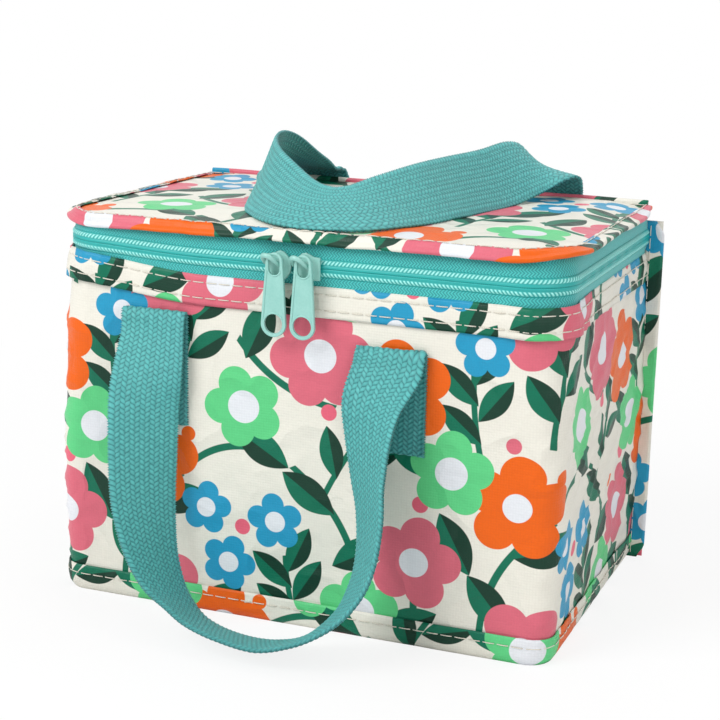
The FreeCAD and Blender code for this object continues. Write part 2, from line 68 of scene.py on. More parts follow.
back = Vector((math.sin(CAMERA_TURN) * math.cos(CAMERA_RISE),
               -math.cos(CAMERA_TURN) * math.cos(CAMERA_RISE),
               math.sin(CAMERA_RISE)))
camera = bpy.data.objects.new("camera", bpy.data.cameras.new("camera"))
camera.data.lens = 85.6
camera.data.sensor_width = 36
camera.location = LOOK_AT + back * CAMERA_AWAY
camera.rotation_euler = (back.to_track_quat("Z", "Y").to_matrix()
                         @ Matrix.Rotation(CAMERA_ROLL, 3, "Z")).to_euler()
bpy.context.collection.objects.link(camera)
bpy.context.scene.camera = camera

# ---- Printed laminate -----------------------------------------------------------
# The bag's outer cloth: flat polypropylene tapes woven fine and square, with a film
# on top that carries the print. The print is a plain all-over garden pattern of
# round-petalled flowers, leaves, stems and berries on cream, repeated as a tile.

CREAM = (0.812, 0.788, 0.701, 1)
ORANGE = (0.82, 0.125, 0.004, 1)
PINK = (0.70, 0.145, 0.20, 1)
LIGHT_GREEN = (0.115, 0.62, 0.235, 1)
DARK_GREEN = (0.002, 0.155, 0.085, 1)
SHADE_GREEN = (0.004, 0.04, 0.022, 1)
BLUE = (0.018, 0.31, 0.53, 1)
PALE_HEART = (0.78, 0.80, 0.84, 1)
BERRY = (0.80, 0.13, 0.20, 1)
TILE = Vector((152, 132, 1000)) * MM
EDGE_SOFT = 0.25 * MM
WEAVE_PITCH = 1.05 * MM


def shader_group(name, inputs, outputs):
    """A new shader group with its input and output nodes."""
    group = bpy.data.node_groups.new(name, "ShaderNodeTree")
    for kind, socket_name, default in inputs:
        socket = group.interface.new_socket(socket_name, in_out="INPUT", socket_type="NodeSocket" + kind)
        if default is not None:
            socket.default_value = default
    for kind, socket_name in outputs:
        group.interface.new_socket(socket_name, in_out="OUTPUT", socket_type="NodeSocket" + kind)
    return group, group.nodes.new("NodeGroupInput"), group.nodes.new("NodeGroupOutput")


def plug(tree, source, target):
    """Link a socket, or set a constant, on a target socket."""
    if hasattr(source, "is_output"):
        tree.links.new(source, target)
    else:
        target.default_value = source


def math_node(tree, operation, *values, clamp=False):
    node = tree.nodes.new("ShaderNodeMath")
    node.operation = operation
    node.use_clamp = clamp
    for index, value in enumerate(values):
        plug(tree, value, node.inputs[index])
    return node.outputs[0]


def vector_node(tree, operation, *values):
    node = tree.nodes.new("ShaderNodeVectorMath")
    node.operation = operation
    for index, value in enumerate(values):
        plug(tree, value, node.inputs[index])
    return node.outputs["Value" if operation in ("LENGTH", "DISTANCE") else "Vector"]


def mix_colours(tree, share, under, over):
    node = tree.nodes.new("ShaderNodeMix")
    node.data_type = "RGBA"
    plug(tree, share, node.inputs["Factor"])
    plug(tree, under, node.inputs[6])
    plug(tree, over, node.inputs[7])
    return node.outputs[2]


def inside(tree, limit, measure):
    """1 where measure is under limit and 0 where it is over, with a soft edge."""
    return math_node(tree, "DIVIDE", math_node(tree, "SUBTRACT", limit, measure), EDGE_SOFT, clamp=True)


def motif_start(name, extra):
    """A motif's group: its inputs, and the place on the cloth seen from its centre."""
    inputs = [("Color", "Under", None), ("Vector", "Cloth", None), ("Vector", "Centre", None),
              ("Float", "Turn", 0.0)] + extra
    group, given, result = shader_group(name, inputs, [("Color", "Color")])
    away = vector_node(group, "SUBTRACT", given.outputs["Cloth"], given.outputs["Centre"])
    near = vector_node(group, "WRAP", away, TILE / 2, -TILE / 2)
    turned = group.nodes.new("ShaderNodeVectorRotate")
    turned.rotation_type = "Z_AXIS"
    group.links.new(near, turned.inputs["Vector"])
    back_turn = math_node(group, "MULTIPLY", given.outputs["Turn"], -1.0)
    group.links.new(back_turn, turned.inputs["Angle"])
    parts = group.nodes.new("ShaderNodeSeparateXYZ")
    group.links.new(turned.outputs[0], parts.inputs[0])
    return group, given, result, parts.outputs[0], parts.outputs[1], near


def flower_group():
    """Round petals about a pale heart; the petals' count, reach and size are given."""
    group, given, result, x, y, near = motif_start("flower", [
        ("Float", "Petals", 5.0), ("Float", "Reach", 0.01), ("Float", "Petal", 0.008),
        ("Float", "Heart", 0.005), ("Color", "Petal Colour", None), ("Color", "Heart Colour", None)])
    radius = vector_node(group, "LENGTH", near)
    angle = math_node(group, "ARCTAN2", y, x)
    wedge = math_node(group, "DIVIDE", math.pi, given.outputs["Petals"])
    folded = math_node(group, "PINGPONG", angle, wedge)
    spot = group.nodes.new("ShaderNodeCombineXYZ")
    plug(group, math_node(group, "MULTIPLY", radius, math_node(group, "COSINE", folded)), spot.inputs[0])
    plug(group, math_node(group, "MULTIPLY", radius, math_node(group, "SINE", folded)), spot.inputs[1])
    tip = group.nodes.new("ShaderNodeCombineXYZ")
    group.links.new(given.outputs["Reach"], tip.inputs[0])
    gap = vector_node(group, "DISTANCE", spot.outputs[0], tip.outputs[0])
    petal = inside(group, given.outputs["Petal"], gap)
    heart = inside(group, given.outputs["Heart"], radius)
    petals = mix_colours(group, petal, given.outputs["Under"], given.outputs["Petal Colour"])
    whole = mix_colours(group, heart, petals, given.outputs["Heart Colour"])
    group.links.new(whole, result.inputs[0])
    return group


def leaf_group():
    """A pointed leaf, darker on one side of its middle."""
    group, given, result, x, y, _ = motif_start("leaf", [
        ("Float", "Half Length", 0.012), ("Float", "Half Width", 0.006),
        ("Color", "Light Side", None), ("Color", "Dark Side", None)])
    share = math_node(group, "DIVIDE", x, given.outputs["Half Length"])
    taper = math_node(group, "SUBTRACT", 1.0, math_node(group, "MULTIPLY", share, share))
    limit = math_node(group, "MULTIPLY", taper, given.outputs["Half Width"])
    leaf = inside(group, limit, math_node(group, "ABSOLUTE", y))
    side = inside(group, 0.0, y)
    colour = mix_colours(group, side, given.outputs["Light Side"], given.outputs["Dark Side"])
    group.links.new(mix_colours(group, leaf, given.outputs["Under"], colour), result.inputs[0])
    return group


def stem_group():
    """A stalk of even thickness that bows to one side."""
    group, given, result, x, y, _ = motif_start("stem", [
        ("Float", "Half Length", 0.02), ("Float", "Bow", 0.004), ("Float", "Half Thick", 0.0015),
        ("Color", "Colour", None)])
    share = math_node(group, "DIVIDE", x, given.outputs["Half Length"])
    arch = math_node(group, "SUBTRACT", 1.0, math_node(group, "MULTIPLY", share, share))
    bow = math_node(group, "MULTIPLY", arch, given.outputs["Bow"])
    off = math_node(group, "ABSOLUTE", math_node(group, "SUBTRACT", y, bow))
    along = inside(group, given.outputs["Half Length"], math_node(group, "ABSOLUTE", x))
    mask = math_node(group, "MULTIPLY", inside(group, given.outputs["Half Thick"], off), along)
    group.links.new(mix_colours(group, mask, given.outputs["Under"], given.outputs["Colour"]),
                    result.inputs[0])
    return group


def print_group():
    """The whole tile: stems and sprigs first, then leaves, berries and flowers over them."""
    group, given, result = shader_group("garden_print", [("Vector", "Cloth", None)], [("Color", "Color")])
    flower, leaf, stem = flower_group(), leaf_group(), stem_group()
    colour = CREAM

    def place(motif, at, turn, **values):
        nonlocal colour
        node = group.nodes.new("ShaderNodeGroup")
        node.node_tree = motif
        plug(group, colour, node.inputs["Under"])
        group.links.new(given.outputs["Cloth"], node.inputs["Cloth"])
        node.inputs["Centre"].default_value = Vector((at[0], at[1], 0)) * MM
        node.inputs["Turn"].default_value = math.radians(turn)
        for word, value in values.items():
            node.inputs[word.replace("_", " ")].default_value = value
        colour = node.outputs[0]

    def place_leaf(x, y, turn, half=13.5, wide=6.6):
        place(leaf, (x, y), turn, Half_Length=half * MM, Half_Width=wide * MM,
              Light_Side=DARK_GREEN, Dark_Side=SHADE_GREEN)

    # Bowed stems. x, y, turn, half length, bow
    for x, y, turn, half, bow in [(22, 32, 62, 28, 7), (54, 64, 20, 20, 6), (98, 38, 118, 32, -8),
                                  (80, 104, 150, 24, 5), (142, 24, 80, 26, 7)]:
        place(stem, (x, y), turn, Half_Length=half * MM, Bow=bow * MM, Half_Thick=1.6 * MM,
              Colour=DARK_GREEN)
    # Sprigs: a straight stem with pairs of leaves. x, y, turn, half length
    for x, y, turn, half in [(38, 108, 78, 23), (108, 74, 58, 22), (84, 12, 102, 17), (6, 96, 96, 20)]:
        place(stem, (x, y), turn, Half_Length=half * MM, Bow=1.5 * MM, Half_Thick=1.3 * MM,
              Colour=DARK_GREEN)
        along = Vector((math.cos(math.radians(turn)), math.sin(math.radians(turn))))
        for step, lean in ((-0.55, 44), (-0.1, -44), (0.2, 40), (0.6, -36)):
            aim = math.radians(turn + lean)
            spot = Vector((x, y)) + along * half * step + 10.5 * Vector((math.cos(aim), math.sin(aim)))
            place_leaf(spot.x, spot.y, turn + lean, 11.0, 5.0)
    # Loose leaves. x, y, turn
    for x, y, turn in [(12, 22, 130), (34, 46, 18), (70, 72, -30), (112, 34, 30), (90, 56, 146),
                       (132, 78, 140), (68, 120, 66), (132, 8, 28), (150, 44, 118), (52, 4, 44)]:
        place_leaf(x, y, turn)
    # Berries. x, y, radius, colour
    for x, y, size, tint in [(62, 38, 3.4, BERRY), (98, 90, 3.4, BERRY), (38, 74, 3.2, ORANGE),
                             (136, 58, 3.4, BERRY), (20, 86, 3.2, PINK), (118, 50, 3.0, ORANGE)]:
        place(flower, (x, y), 0, Reach=0.0, Petal=size * MM, Heart=0.0, Petal_Colour=tint)
    # Flowers. x, y, turn, petals, reach, petal size, heart, colour
    for x, y, turn, count, reach, petal, heart, tint in [
            (22, 62, 12, 5, 12.2, 8.5, 5.8, ORANGE), (62, 88, 40, 5, 9.6, 7.4, 6.8, LIGHT_GREEN),
            (94, 112, 8, 6, 13.0, 8.4, 6.8, PINK), (128, 102, 30, 5, 12.0, 8.4, 5.8, ORANGE),
            (112, 10, 20, 5, 9.6, 7.4, 6.6, LIGHT_GREEN), (26, 4, 50, 5, 11.8, 9.0, 6.4, PINK),
            (56, 22, 0, 5, 7.0, 4.9, 4.4, BLUE), (76, 42, 26, 5, 7.2, 4.9, 4.4, BLUE),
            (46, 44, 10, 5, 6.6, 4.7, 4.2, BLUE), (148, 72, 14, 5, 9.8, 7.4, 6.6, LIGHT_GREEN),
            (134, 34, 6, 5, 11.0, 8.2, 6.0, PINK), (8, 122, 24, 5, 7.2, 4.9, 4.2, BLUE)]:
        place(flower, (x, y), turn, Petals=float(count), Reach=reach * MM, Petal=petal * MM,
              Heart=heart * MM, Petal_Colour=tint, Heart_Colour=PALE_HEART)
    group.links.new(colour, result.inputs[0])
    return group


def weave_group():
    """Height of a square weave of flat tapes, 0 in the furrows and 1 on the tapes."""
    group, given, result = shader_group("flat_weave", [("Vector", "Cloth", None), ("Float", "Pitch", 0.001)],
                                        [("Float", "Height")])
    parts = group.nodes.new("ShaderNodeSeparateXYZ")
    group.links.new(given.outputs["Cloth"], parts.inputs[0])
    waves = []
    for axis in (0, 1):
        turns = math_node(group, "DIVIDE", parts.outputs[axis], given.outputs["Pitch"])
        wave = math_node(group, "SINE", math_node(group, "MULTIPLY", turns, math.pi))
        waves.append(math_node(group, "POWER", math_node(group, "ABSOLUTE", wave), 0.45))
    group.links.new(math_node(group, "MULTIPLY", *waves), result.inputs[0])
    return group


def new_material(name, **settings):
    """A material with a Principled shader and plain settings on its own sockets."""
    material = bpy.data.materials.new(name)
    material.use_nodes = True
    shader = material.node_tree.nodes["Principled BSDF"]
    for word, value in settings.items():
        shader.inputs[word.replace("_", " ")].default_value = value
    return material, material.node_tree, shader


def cloth_place(tree, shift=(0, 0)):
    """The piece's own cloth coordinates in metres, moved by shift."""
    uv = tree.nodes.new("ShaderNodeUVMap")
    uv.uv_map = "cloth"
    return vector_node(tree, "ADD", uv.outputs[0], Vector((shift[0], shift[1], 0)) * MM)


def object_place(tree):
    return tree.nodes.new("ShaderNodeTexCoord").outputs["Object"]


def noise_node(tree, place, scale, detail=3.0):
    node = tree.nodes.new("ShaderNodeTexNoise")
    node.inputs["Scale"].default_value = scale
    node.inputs["Detail"].default_value = detail
    tree.links.new(place, node.inputs["Vector"])
    return node.outputs["Fac"]


def bump_node(tree, shader, height, distance, strength=1.0, under=None):
    node = tree.nodes.new("ShaderNodeBump")
    node.inputs["Distance"].default_value = distance
    node.inputs["Strength"].default_value = strength
    plug(tree, height, node.inputs["Height"])
    if under is not None:
        tree.links.new(under, node.inputs["Normal"])
    tree.links.new(node.outputs[0], shader.inputs["Normal"])
    return node.outputs[0]


garden_print = print_group()
flat_weave = weave_group()


def printed_laminate(name, shift, place_of=cloth_place):
    """The printed cloth, cut with its pattern moved by shift millimetres."""
    material, tree, shader = new_material(name, Roughness=0.4, Specular_IOR_Level=0.22, Coat_Weight=0.04,
                                          Coat_Roughness=0.28)
    place = place_of(tree, shift)
    picture = tree.nodes.new("ShaderNodeGroup")
    picture.node_tree = garden_print
    tree.links.new(place, picture.inputs[0])
    weave = tree.nodes.new("ShaderNodeGroup")
    weave.node_tree = flat_weave
    weave.inputs["Pitch"].default_value = WEAVE_PITCH
    tree.links.new(place, weave.inputs[0])
    grain = noise_node(tree, place, 900.0, 2.0)
    worn = math_node(tree, "MULTIPLY_ADD", grain, 0.10, 0.93)
    # The grain varies the colour at random, and the colour is darkened a little in the weave's furrows as
    # painted shade.
    grain_and_furrow_shade = math_node(tree, "MULTIPLY", worn, math_node(tree, "MULTIPLY_ADD", weave.outputs[0], 0.05, 0.95))
    shaded = tree.nodes.new("ShaderNodeVectorMath")
    shaded.operation = "SCALE"
    tree.links.new(picture.outputs[0], shaded.inputs[0])
    tree.links.new(grain_and_furrow_shade, shaded.inputs["Scale"])
    tree.links.new(shaded.outputs[0], shader.inputs["Base Color"])
    gloss = math_node(tree, "MULTIPLY_ADD", noise_node(tree, place, 60.0), 0.22, 0.28)
    tree.links.new(gloss, shader.inputs["Roughness"])
    crumple = noise_node(tree, place, 120.0, 5.0)
    fold = math_node(tree, "ABSOLUTE", math_node(tree, "SUBTRACT", noise_node(tree, place, 26.0, 2.0), 0.5))
    crease = math_node(tree, "MULTIPLY_ADD", fold, -14.0, 1.0, clamp=True)
    lumps = math_node(tree, "ADD", crumple, math_node(tree, "MULTIPLY", crease, 0.8))
    first = bump_node(tree, shader, lumps, 0.9 * MM, 0.8)
    bump_node(tree, shader, weave.outputs[0], 0.09 * MM, 0.7, under=first)
    return material


def flat_place(tree, shift):
    """Cloth coordinates for a level panel that has no map of its own."""
    return vector_node(tree, "ADD", object_place(tree), Vector((shift[0], shift[1], 0)) * MM)


# ---- Front and side panel -------------------------------------------------------
# One piece of laminate wraps the left side, the front and the right side. It is
# slack over the foam: it stands out at the upright corners, dips in the middle of
# the sides, and puckers under the corners of the zip.

BAG_FOOT, BAG_TOP = (Vector(corner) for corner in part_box("bottom_panel"))
HALF_WIDE = BAG_TOP.x
HALF_DEEP = BAG_TOP.y
SIDE_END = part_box("top_hem")[1][1]
WALL_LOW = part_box("front_side_panel")[0][2]
WALL_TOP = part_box("front_side_panel")[1][2]
ZIP_RADIUS = 18 * MM
LAMINATE = 0.45 * MM
CORNER_REACH = 24 * MM
CORNER_POST = 30 * MM


def smooth_step(low, high, value):
    share = min(max((value - low) / (high - low), 0.0), 1.0)
    return share * share * (3 - 2 * share)


def plan_length(radius):
    """Length of the bag's plan line from back left, round the front, to back right."""
    return 2 * (SIDE_END + HALF_DEEP - radius) + math.pi * radius + 2 * (HALF_WIDE - radius)


PLAN = plan_length(ZIP_RADIUS)


def plan_point(share, radius):
    """Place and outward direction on the plan line, share of the way round."""
    half = plan_length(radius) / 2
    run = share * 2 * half
    mirror = 1.0 if run <= half else -1.0
    run = run if run <= half else 2 * half - run
    side = SIDE_END + HALF_DEEP - radius
    if run < side:
        spot = Vector((-HALF_WIDE, SIDE_END - run, 0))
        outward = Vector((-1, 0, 0))
    elif run < side + radius * math.pi / 2:
        angle = (run - side) / radius
        outward = Vector((-math.cos(angle), -math.sin(angle), 0))
        spot = Vector((radius - HALF_WIDE, radius - HALF_DEEP, 0)) + outward * radius
    else:
        spot = Vector((radius - HALF_WIDE + run - side - radius * math.pi / 2, -HALF_DEEP, 0))
        outward = Vector((0, -1, 0))
    return Vector((spot.x * mirror, spot.y, 0)), Vector((outward.x * mirror, outward.y, 0))


def corner_radius(z):
    """The upright corners are tight at the foot and rounder at the zip."""
    share = min(max(z / WALL_TOP, 0.0), 1.0)
    return (9 + 9 * share * share - 1.5 * math.sin(math.pi * share)) * MM


def near_corner(spot):
    """1 at the two upright front corners, falling to 0 away from them."""
    gap = math.hypot(abs(spot.x) - HALF_WIDE, spot.y + HALF_DEEP)
    return math.exp(-(gap / CORNER_REACH) ** 2)


def corner_angle(spot):
    """Angle about an upright line inside the corner; puckers are spaced by it."""
    return math.atan2(spot.y + HALF_DEEP - CORNER_POST, abs(spot.x) - HALF_WIDE + CORNER_POST)


def wall_slack(spot, outward, z):
    """How far the laminate stands out from the foam, in metres."""
    share = min(max(z / WALL_TOP, 0.0), 1.0)
    belly = math.sin(math.pi * share) ** 0.6 if 0 < share < 1 else 0.0
    side = abs(outward.x)
    place = Vector((spot.x, spot.y, z))
    slow = 0.5 + 0.5 * noise.noise(place * 22)
    front_slack = (1 - side) * belly * (0.5 + 1.1 * slow)
    dish = (abs(spot.y) / HALF_DEEP) ** 3
    side_slack = side * belly * (0.2 + 2.0 * dish + 0.5 * slow)
    along = spot.y + z * 0.55
    across = z - spot.y * 0.55
    crease = 1 - abs(noise.noise(Vector((along * 34, across * 110, spot.x * 3))))
    creases = side * belly * 1.5 * crease ** 5
    pucker = near_corner(spot) * smooth_step(0.6, 0.95, share)
    puckers = pucker * (1.2 + 1.3 * noise.noise(Vector((corner_angle(spot) * 9, z * 40, spot.x * 9))))
    return (0.15 + front_slack + side_slack + creases + puckers) * MM


def cut_cloth(long, tall, cells_long, cells_tall, shift=(0.0, 0.0)):
    """A flat grid of cloth from (0, 0) to (long, tall), mapped in its own metres."""
    cloth = bmesh.new()
    bmesh.ops.create_grid(cloth, x_segments=cells_long, y_segments=cells_tall, size=0.5)
    bmesh.ops.translate(cloth, verts=cloth.verts, vec=(0.5, 0.5, 0))
    bmesh.ops.scale(cloth, verts=cloth.verts, vec=(long, tall, 1))
    layer = cloth.loops.layers.uv.new("cloth")
    for face in cloth.faces:
        for loop in face.loops:
            loop[layer].uv = (loop.vert.co.x + shift[0], loop.vert.co.y + shift[1])
    return cloth


def make_piece(name, mesh_data, material, body=None):
    """Turn a bmesh into a smooth piece that rides on a body."""
    mesh = bpy.data.meshes.new(name)
    mesh_data.to_mesh(mesh)
    mesh_data.free()
    mesh.materials.append(material)
    mesh.shade_smooth()
    piece = bpy.data.objects.new(name, mesh)
    bpy.context.collection.objects.link(piece)
    if body:
        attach(piece, body)
    return piece


def thicken(piece, thickness, offset=-1.0):
    solidify = piece.modifiers.new("thickness", "SOLIDIFY")
    solidify.thickness = thickness
    solidify.offset = offset


def wrap_cloth(cloth, low, out_of):
    """Wrap a flat cloth round the bag's plan, its lower edge at height low."""
    for vert in cloth.verts:
        z = low + vert.co.y
        spot, outward = plan_point(vert.co.x / PLAN, corner_radius(z))
        spot += outward * out_of(spot, outward, z)
        vert.co = (spot.x, spot.y, z)


panel = cut_cloth(PLAN, WALL_TOP - WALL_LOW, 236, 70)
wrap_cloth(panel, WALL_LOW, wall_slack)
front_side_panel = make_piece("front_side_cloth", panel, printed_laminate("print_walls", (0, 0)), "bag")
thicken(front_side_panel, LAMINATE)
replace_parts(front_side_panel, "front_side_panel")

# ---- Back panel -----------------------------------------------------------------
# A flat piece of the same laminate behind the bag. Its sides are caught in the
# corner bindings and its top edge is the fold that the lid turns on.

BACK_LOW, BACK_HIGH = (Vector(corner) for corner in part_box("back_panel"))


def back_slack(x, z):
    """The back panel bellies out a little between its four bound edges."""
    share_x = x / BACK_HIGH.x
    share_z = 2 * z / BACK_HIGH.z - 1
    belly = max(1 - share_x ** 4, 0) * max(1 - share_z ** 4, 0)
    slow = noise.noise(Vector((x * 26, 5, z * 26)))
    crease = 1 - abs(noise.noise(Vector((x * 60 + z * 30, 9, z * 22 - x * 12))))
    return belly * (0.5 + 0.6 * slow + 0.6 * crease ** 5) * MM


panel = cut_cloth(BACK_HIGH.x - BACK_LOW.x, BACK_HIGH.z - BACK_LOW.z, 110, 76)
for vert in panel.verts:
    x = BACK_HIGH.x - vert.co.x
    z = BACK_LOW.z + vert.co.y
    vert.co = (x, BACK_HIGH.y + max(back_slack(x, z), 0), z)
back_panel = make_piece("back_cloth", panel, printed_laminate("print_back", (61, 37)), "bag")
thicken(back_panel, LAMINATE)
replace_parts(back_panel, "back_panel")

# ---- Bottom panel ---------------------------------------------------------------
# The bag stands on a flat piece of the same laminate, sewn in by the binding.

bottom_panel = frame["nodes"]["bottom_panel"]
bottom_panel.data.materials.clear()
bottom_panel.data.materials.append(printed_laminate("print_bottom", (18, 83), flat_place))

# ---- Foam -----------------------------------------------------------------------
# White closed-cell foam sheet between the laminate and the foil, in four pieces. It
# shows nowhere while the bag is whole.


def foam_material():
    material, tree, shader = new_material("white_foam", Roughness=0.75)
    place = object_place(tree)
    cells = tree.nodes.new("ShaderNodeTexVoronoi")
    cells.inputs["Scale"].default_value = 900.0
    tree.links.new(place, cells.inputs["Vector"])
    tone = mix_colours(tree, cells.outputs["Distance"], (0.86, 0.86, 0.85, 1), (0.72, 0.72, 0.71, 1))
    tree.links.new(tone, shader.inputs["Base Color"])
    bump_node(tree, shader, cells.outputs["Distance"], 0.2 * MM, 0.6)
    return material


white_foam = foam_material()
for node_name in ("front_side_foam", "back_foam", "bottom_foam"):
    foam = frame["nodes"][node_name]
    foam.data.materials.clear()
    foam.data.materials.append(white_foam)

# ---- Stitches -------------------------------------------------------------------
# Cream polyester thread. Each stitch lies on the cloth like a short slack cord and
# dives into a needle hole at each end.

STITCH_PITCH = 5.6 * MM
STITCH_SHARE = 0.8
THREAD_RADIUS = 0.22 * MM
THREAD_LIFT = 0.12 * MM
THREAD_CREAM = (0.84, 0.80, 0.70, 1)
THREAD_SHADE = (0.60, 0.55, 0.46, 1)


def thread_material():
    material, tree, shader = new_material("cream_thread", Roughness=0.55, Sheen_Weight=0.2)
    place = object_place(tree)
    twist = tree.nodes.new("ShaderNodeTexWave")
    twist.inputs["Scale"].default_value = 900.0
    twist.inputs["Distortion"].default_value = 1.5
    twist.bands_direction = "DIAGONAL"
    tree.links.new(place, twist.inputs["Vector"])
    tone = mix_colours(tree, twist.outputs["Fac"], THREAD_SHADE, THREAD_CREAM)
    tree.links.new(tone, shader.inputs["Base Color"])
    bump_node(tree, shader, twist.outputs["Fac"], 0.1 * MM, 0.6)
    return material


cream_thread = thread_material()


def add_stitch(threads, start, stop, lift):
    """One stitch from start to stop that bows away from the cloth along lift."""
    along = stop - start
    turn = along.to_track_quat("Z", "Y").to_matrix().to_4x4()
    made = bmesh.ops.create_cone(threads, cap_ends=True, segments=6, radius1=THREAD_RADIUS,
                                 radius2=THREAD_RADIUS, depth=along.length,
                                 matrix=Matrix.Translation((start + stop) / 2) @ turn)
    sides = [edge for edge in {edge for vert in made["verts"] for edge in vert.link_edges}
             if abs((edge.verts[1].co - edge.verts[0].co).normalized().dot(along.normalized())) > 0.9]
    cut = bmesh.ops.subdivide_edges(threads, edges=sides, cuts=2)
    middle = [item for item in cut["geom_inner"] if isinstance(item, bmesh.types.BMVert)]
    bmesh.ops.translate(threads, verts=middle, vec=lift * THREAD_RADIUS * 0.9)


def sew(name, body, path, count):
    """A row of stitches along path, a function of 0..1 that gives a place and the way out."""
    threads = bmesh.new()
    for index in range(count):
        start, lift = path((index + 0.5 - STITCH_SHARE / 2) / count)
        stop, lift_too = path((index + 0.5 + STITCH_SHARE / 2) / count)
        add_stitch(threads, start, stop, (lift + lift_too).normalized())
    make_piece(name, threads, cream_thread, body)


def round_row(z_of, out_of, climb=lambda spot: 0.0):
    """The path of a row of stitches round the three sides of the bag."""
    def path(share):
        z = z_of(share)
        spot, outward = plan_point(share, corner_radius(z))
        return spot + outward * out_of(spot, outward, z) + Vector((0, 0, z + climb(spot))), outward
    return path


# ---- Top hem ----------------------------------------------------------------------
# A strip of laminate, cut with the print out of line, covers the top edge of the
# walls and holds the zip's lower tape. Two rows of stitches run along it, and it
# gathers into small pleats at the corners.

HEM_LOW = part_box("top_hem")[0][2]
HEM_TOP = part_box("top_hem")[1][2]
HEM_CLIMB = 5.6 * MM


def hem_stand(spot, outward, z):
    """How far the hem stands out: over the wall cloth and the zip's tape."""
    pleat = near_corner(spot)
    folds = pleat * (1.1 + 2.0 * noise.noise(Vector((corner_angle(spot) * 7, z * 30, 3 + spot.x * 7))))
    ripple = 0.25 * noise.noise(Vector((spot.x * 90, spot.y * 90, z * 60)))
    tight = 0.6 * smooth_step(HEM_TOP - 5 * MM, HEM_TOP - 1 * MM, z)
    return wall_slack(spot, outward, z) + (1.0 + folds + ripple - tight) * MM


def left_climb(spot):
    """1 on the left side and 0 in the middle: hem and zip were sewn on rising to the left."""
    return 1 - smooth_step(-HALF_WIDE, -40 * MM, spot.x)


def hem_climb(spot):
    return HEM_CLIMB * left_climb(spot)


hem = cut_cloth(PLAN, HEM_TOP - HEM_LOW, 300, 8)
wrap_cloth(hem, HEM_LOW, hem_stand)
for vert in hem.verts:
    vert.co.z += hem_climb(vert.co)
top_hem = make_piece("top_hem_strip", hem, printed_laminate("print_hem", (83, 24)), "bag")
thicken(top_hem, LAMINATE)
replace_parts(top_hem, "top_hem")


def on_cloth(stand):
    """The thread's way out from the bag's plan: just above a cloth that stands out by stand."""
    return lambda spot, outward, z: stand(spot, outward, z) + THREAD_LIFT


stitches_round = int(PLAN / STITCH_PITCH)
for row, drop in (("upper", 2.9 * MM), ("lower", 9.0 * MM)):
    row_path = round_row(lambda share, drop=drop: HEM_TOP - drop, on_cloth(hem_stand), climb=hem_climb)
    sew("hem_%s_stitches" % row, "bag", row_path, stitches_round)

# ---- Bottom binding ---------------------------------------------------------------
# A strip of laminate folded over the seam between the walls and the bottom panel,
# with one row of stitches. A plain strip does the same along the back.

BAND_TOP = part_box("bottom_binding")[1][2]
BAND_SEAM = BAND_TOP - 3.6 * MM


def band_stand(spot, outward, z):
    """The binding hugs the wall at its top edge and tucks in at the floor."""
    ripple = 0.3 * noise.noise(Vector((spot.x * 70, spot.y * 70, z * 50 + 4)))
    tuck = -0.9 * (1 - smooth_step(0, 2.5 * MM, z))
    roll = 0.5 * math.sin(math.pi * min(z / BAND_TOP, 1))
    return wall_slack(spot, outward, z) + (0.85 + ripple + tuck + roll) * MM


band = cut_cloth(PLAN, BAND_TOP, 236, 9)
wrap_cloth(band, 0.0, band_stand)
bottom_binding = make_piece("bottom_binding_strip", band, printed_laminate("print_foot", (120, 66)), "bag")
thicken(bottom_binding, LAMINATE)
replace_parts(bottom_binding, "bottom_binding")
row_path = round_row(lambda share: BAND_SEAM, on_cloth(band_stand))
sew("foot_stitches", "bag", row_path, stitches_round)

strip = cut_cloth(2 * HALF_WIDE, BAND_TOP, 105, 6)
for vert in strip.verts:
    x, z = HALF_WIDE - vert.co.x, vert.co.y
    roll = 0.5 * math.sin(math.pi * z / BAND_TOP) * MM
    vert.co = (x, HALF_DEEP + 0.7 * MM + roll + back_slack(x, z) * 0.5, z)
back_foot = make_piece("back_foot_strip", strip, bottom_binding.data.materials[0], "bag")
thicken(back_foot, LAMINATE)
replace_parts(back_foot, "back_bottom_binding")


def back_foot_row(share):
    x = HALF_WIDE * (1 - 2 * share)
    out = HALF_DEEP + 1.3 * MM + back_slack(x, BAND_SEAM) * 0.5
    return Vector((x, out, BAND_SEAM)), Vector((0, 1, 0))


stitches_across = int(2 * HALF_WIDE / STITCH_PITCH)
sew("back_foot_stitches", "bag", back_foot_row, stitches_across)

# ---- Corner bindings --------------------------------------------------------------
# The seams between the side walls and the back panel stand out sideways as fins,
# each wrapped in a folded strip of laminate and sewn through near the wall.

FIN_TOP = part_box("right_corner_binding")[1][2]
FIN_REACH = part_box("right_corner_binding")[1][0] - HALF_WIDE
FIN_MIDDLE = HALF_DEEP - 0.3 * MM
FIN_THICK = 2.0 * MM
FIN_TAPER = 8 * MM
FIN_CLOSE = 3 * MM
FIN_SEAM = 2.2 * MM


def fin_section(across):
    """Folded strip: out along the front, round the tip, back along the rear."""
    leg = FIN_REACH - FIN_THICK / 2
    bend = math.pi * FIN_THICK / 2
    if across < leg:
        return across, -FIN_THICK / 2
    if across < leg + bend:
        angle = (across - leg) / (FIN_THICK / 2)
        return leg + math.sin(angle) * FIN_THICK / 2, -math.cos(angle) * FIN_THICK / 2
    return 2 * leg + bend - across, FIN_THICK / 2


FIN_STRIP = 2 * (FIN_REACH - FIN_THICK / 2) + math.pi * FIN_THICK / 2
fin_print = printed_laminate("print_fins", (47, 5))


def fin_bend(z, side):
    """The fin leans and ripples a little along its height."""
    lean = noise.noise(Vector((side * 4, 2, z * 16)))
    return 1.4 * MM * lean * math.sin(math.pi * min(z / FIN_TOP, 1))


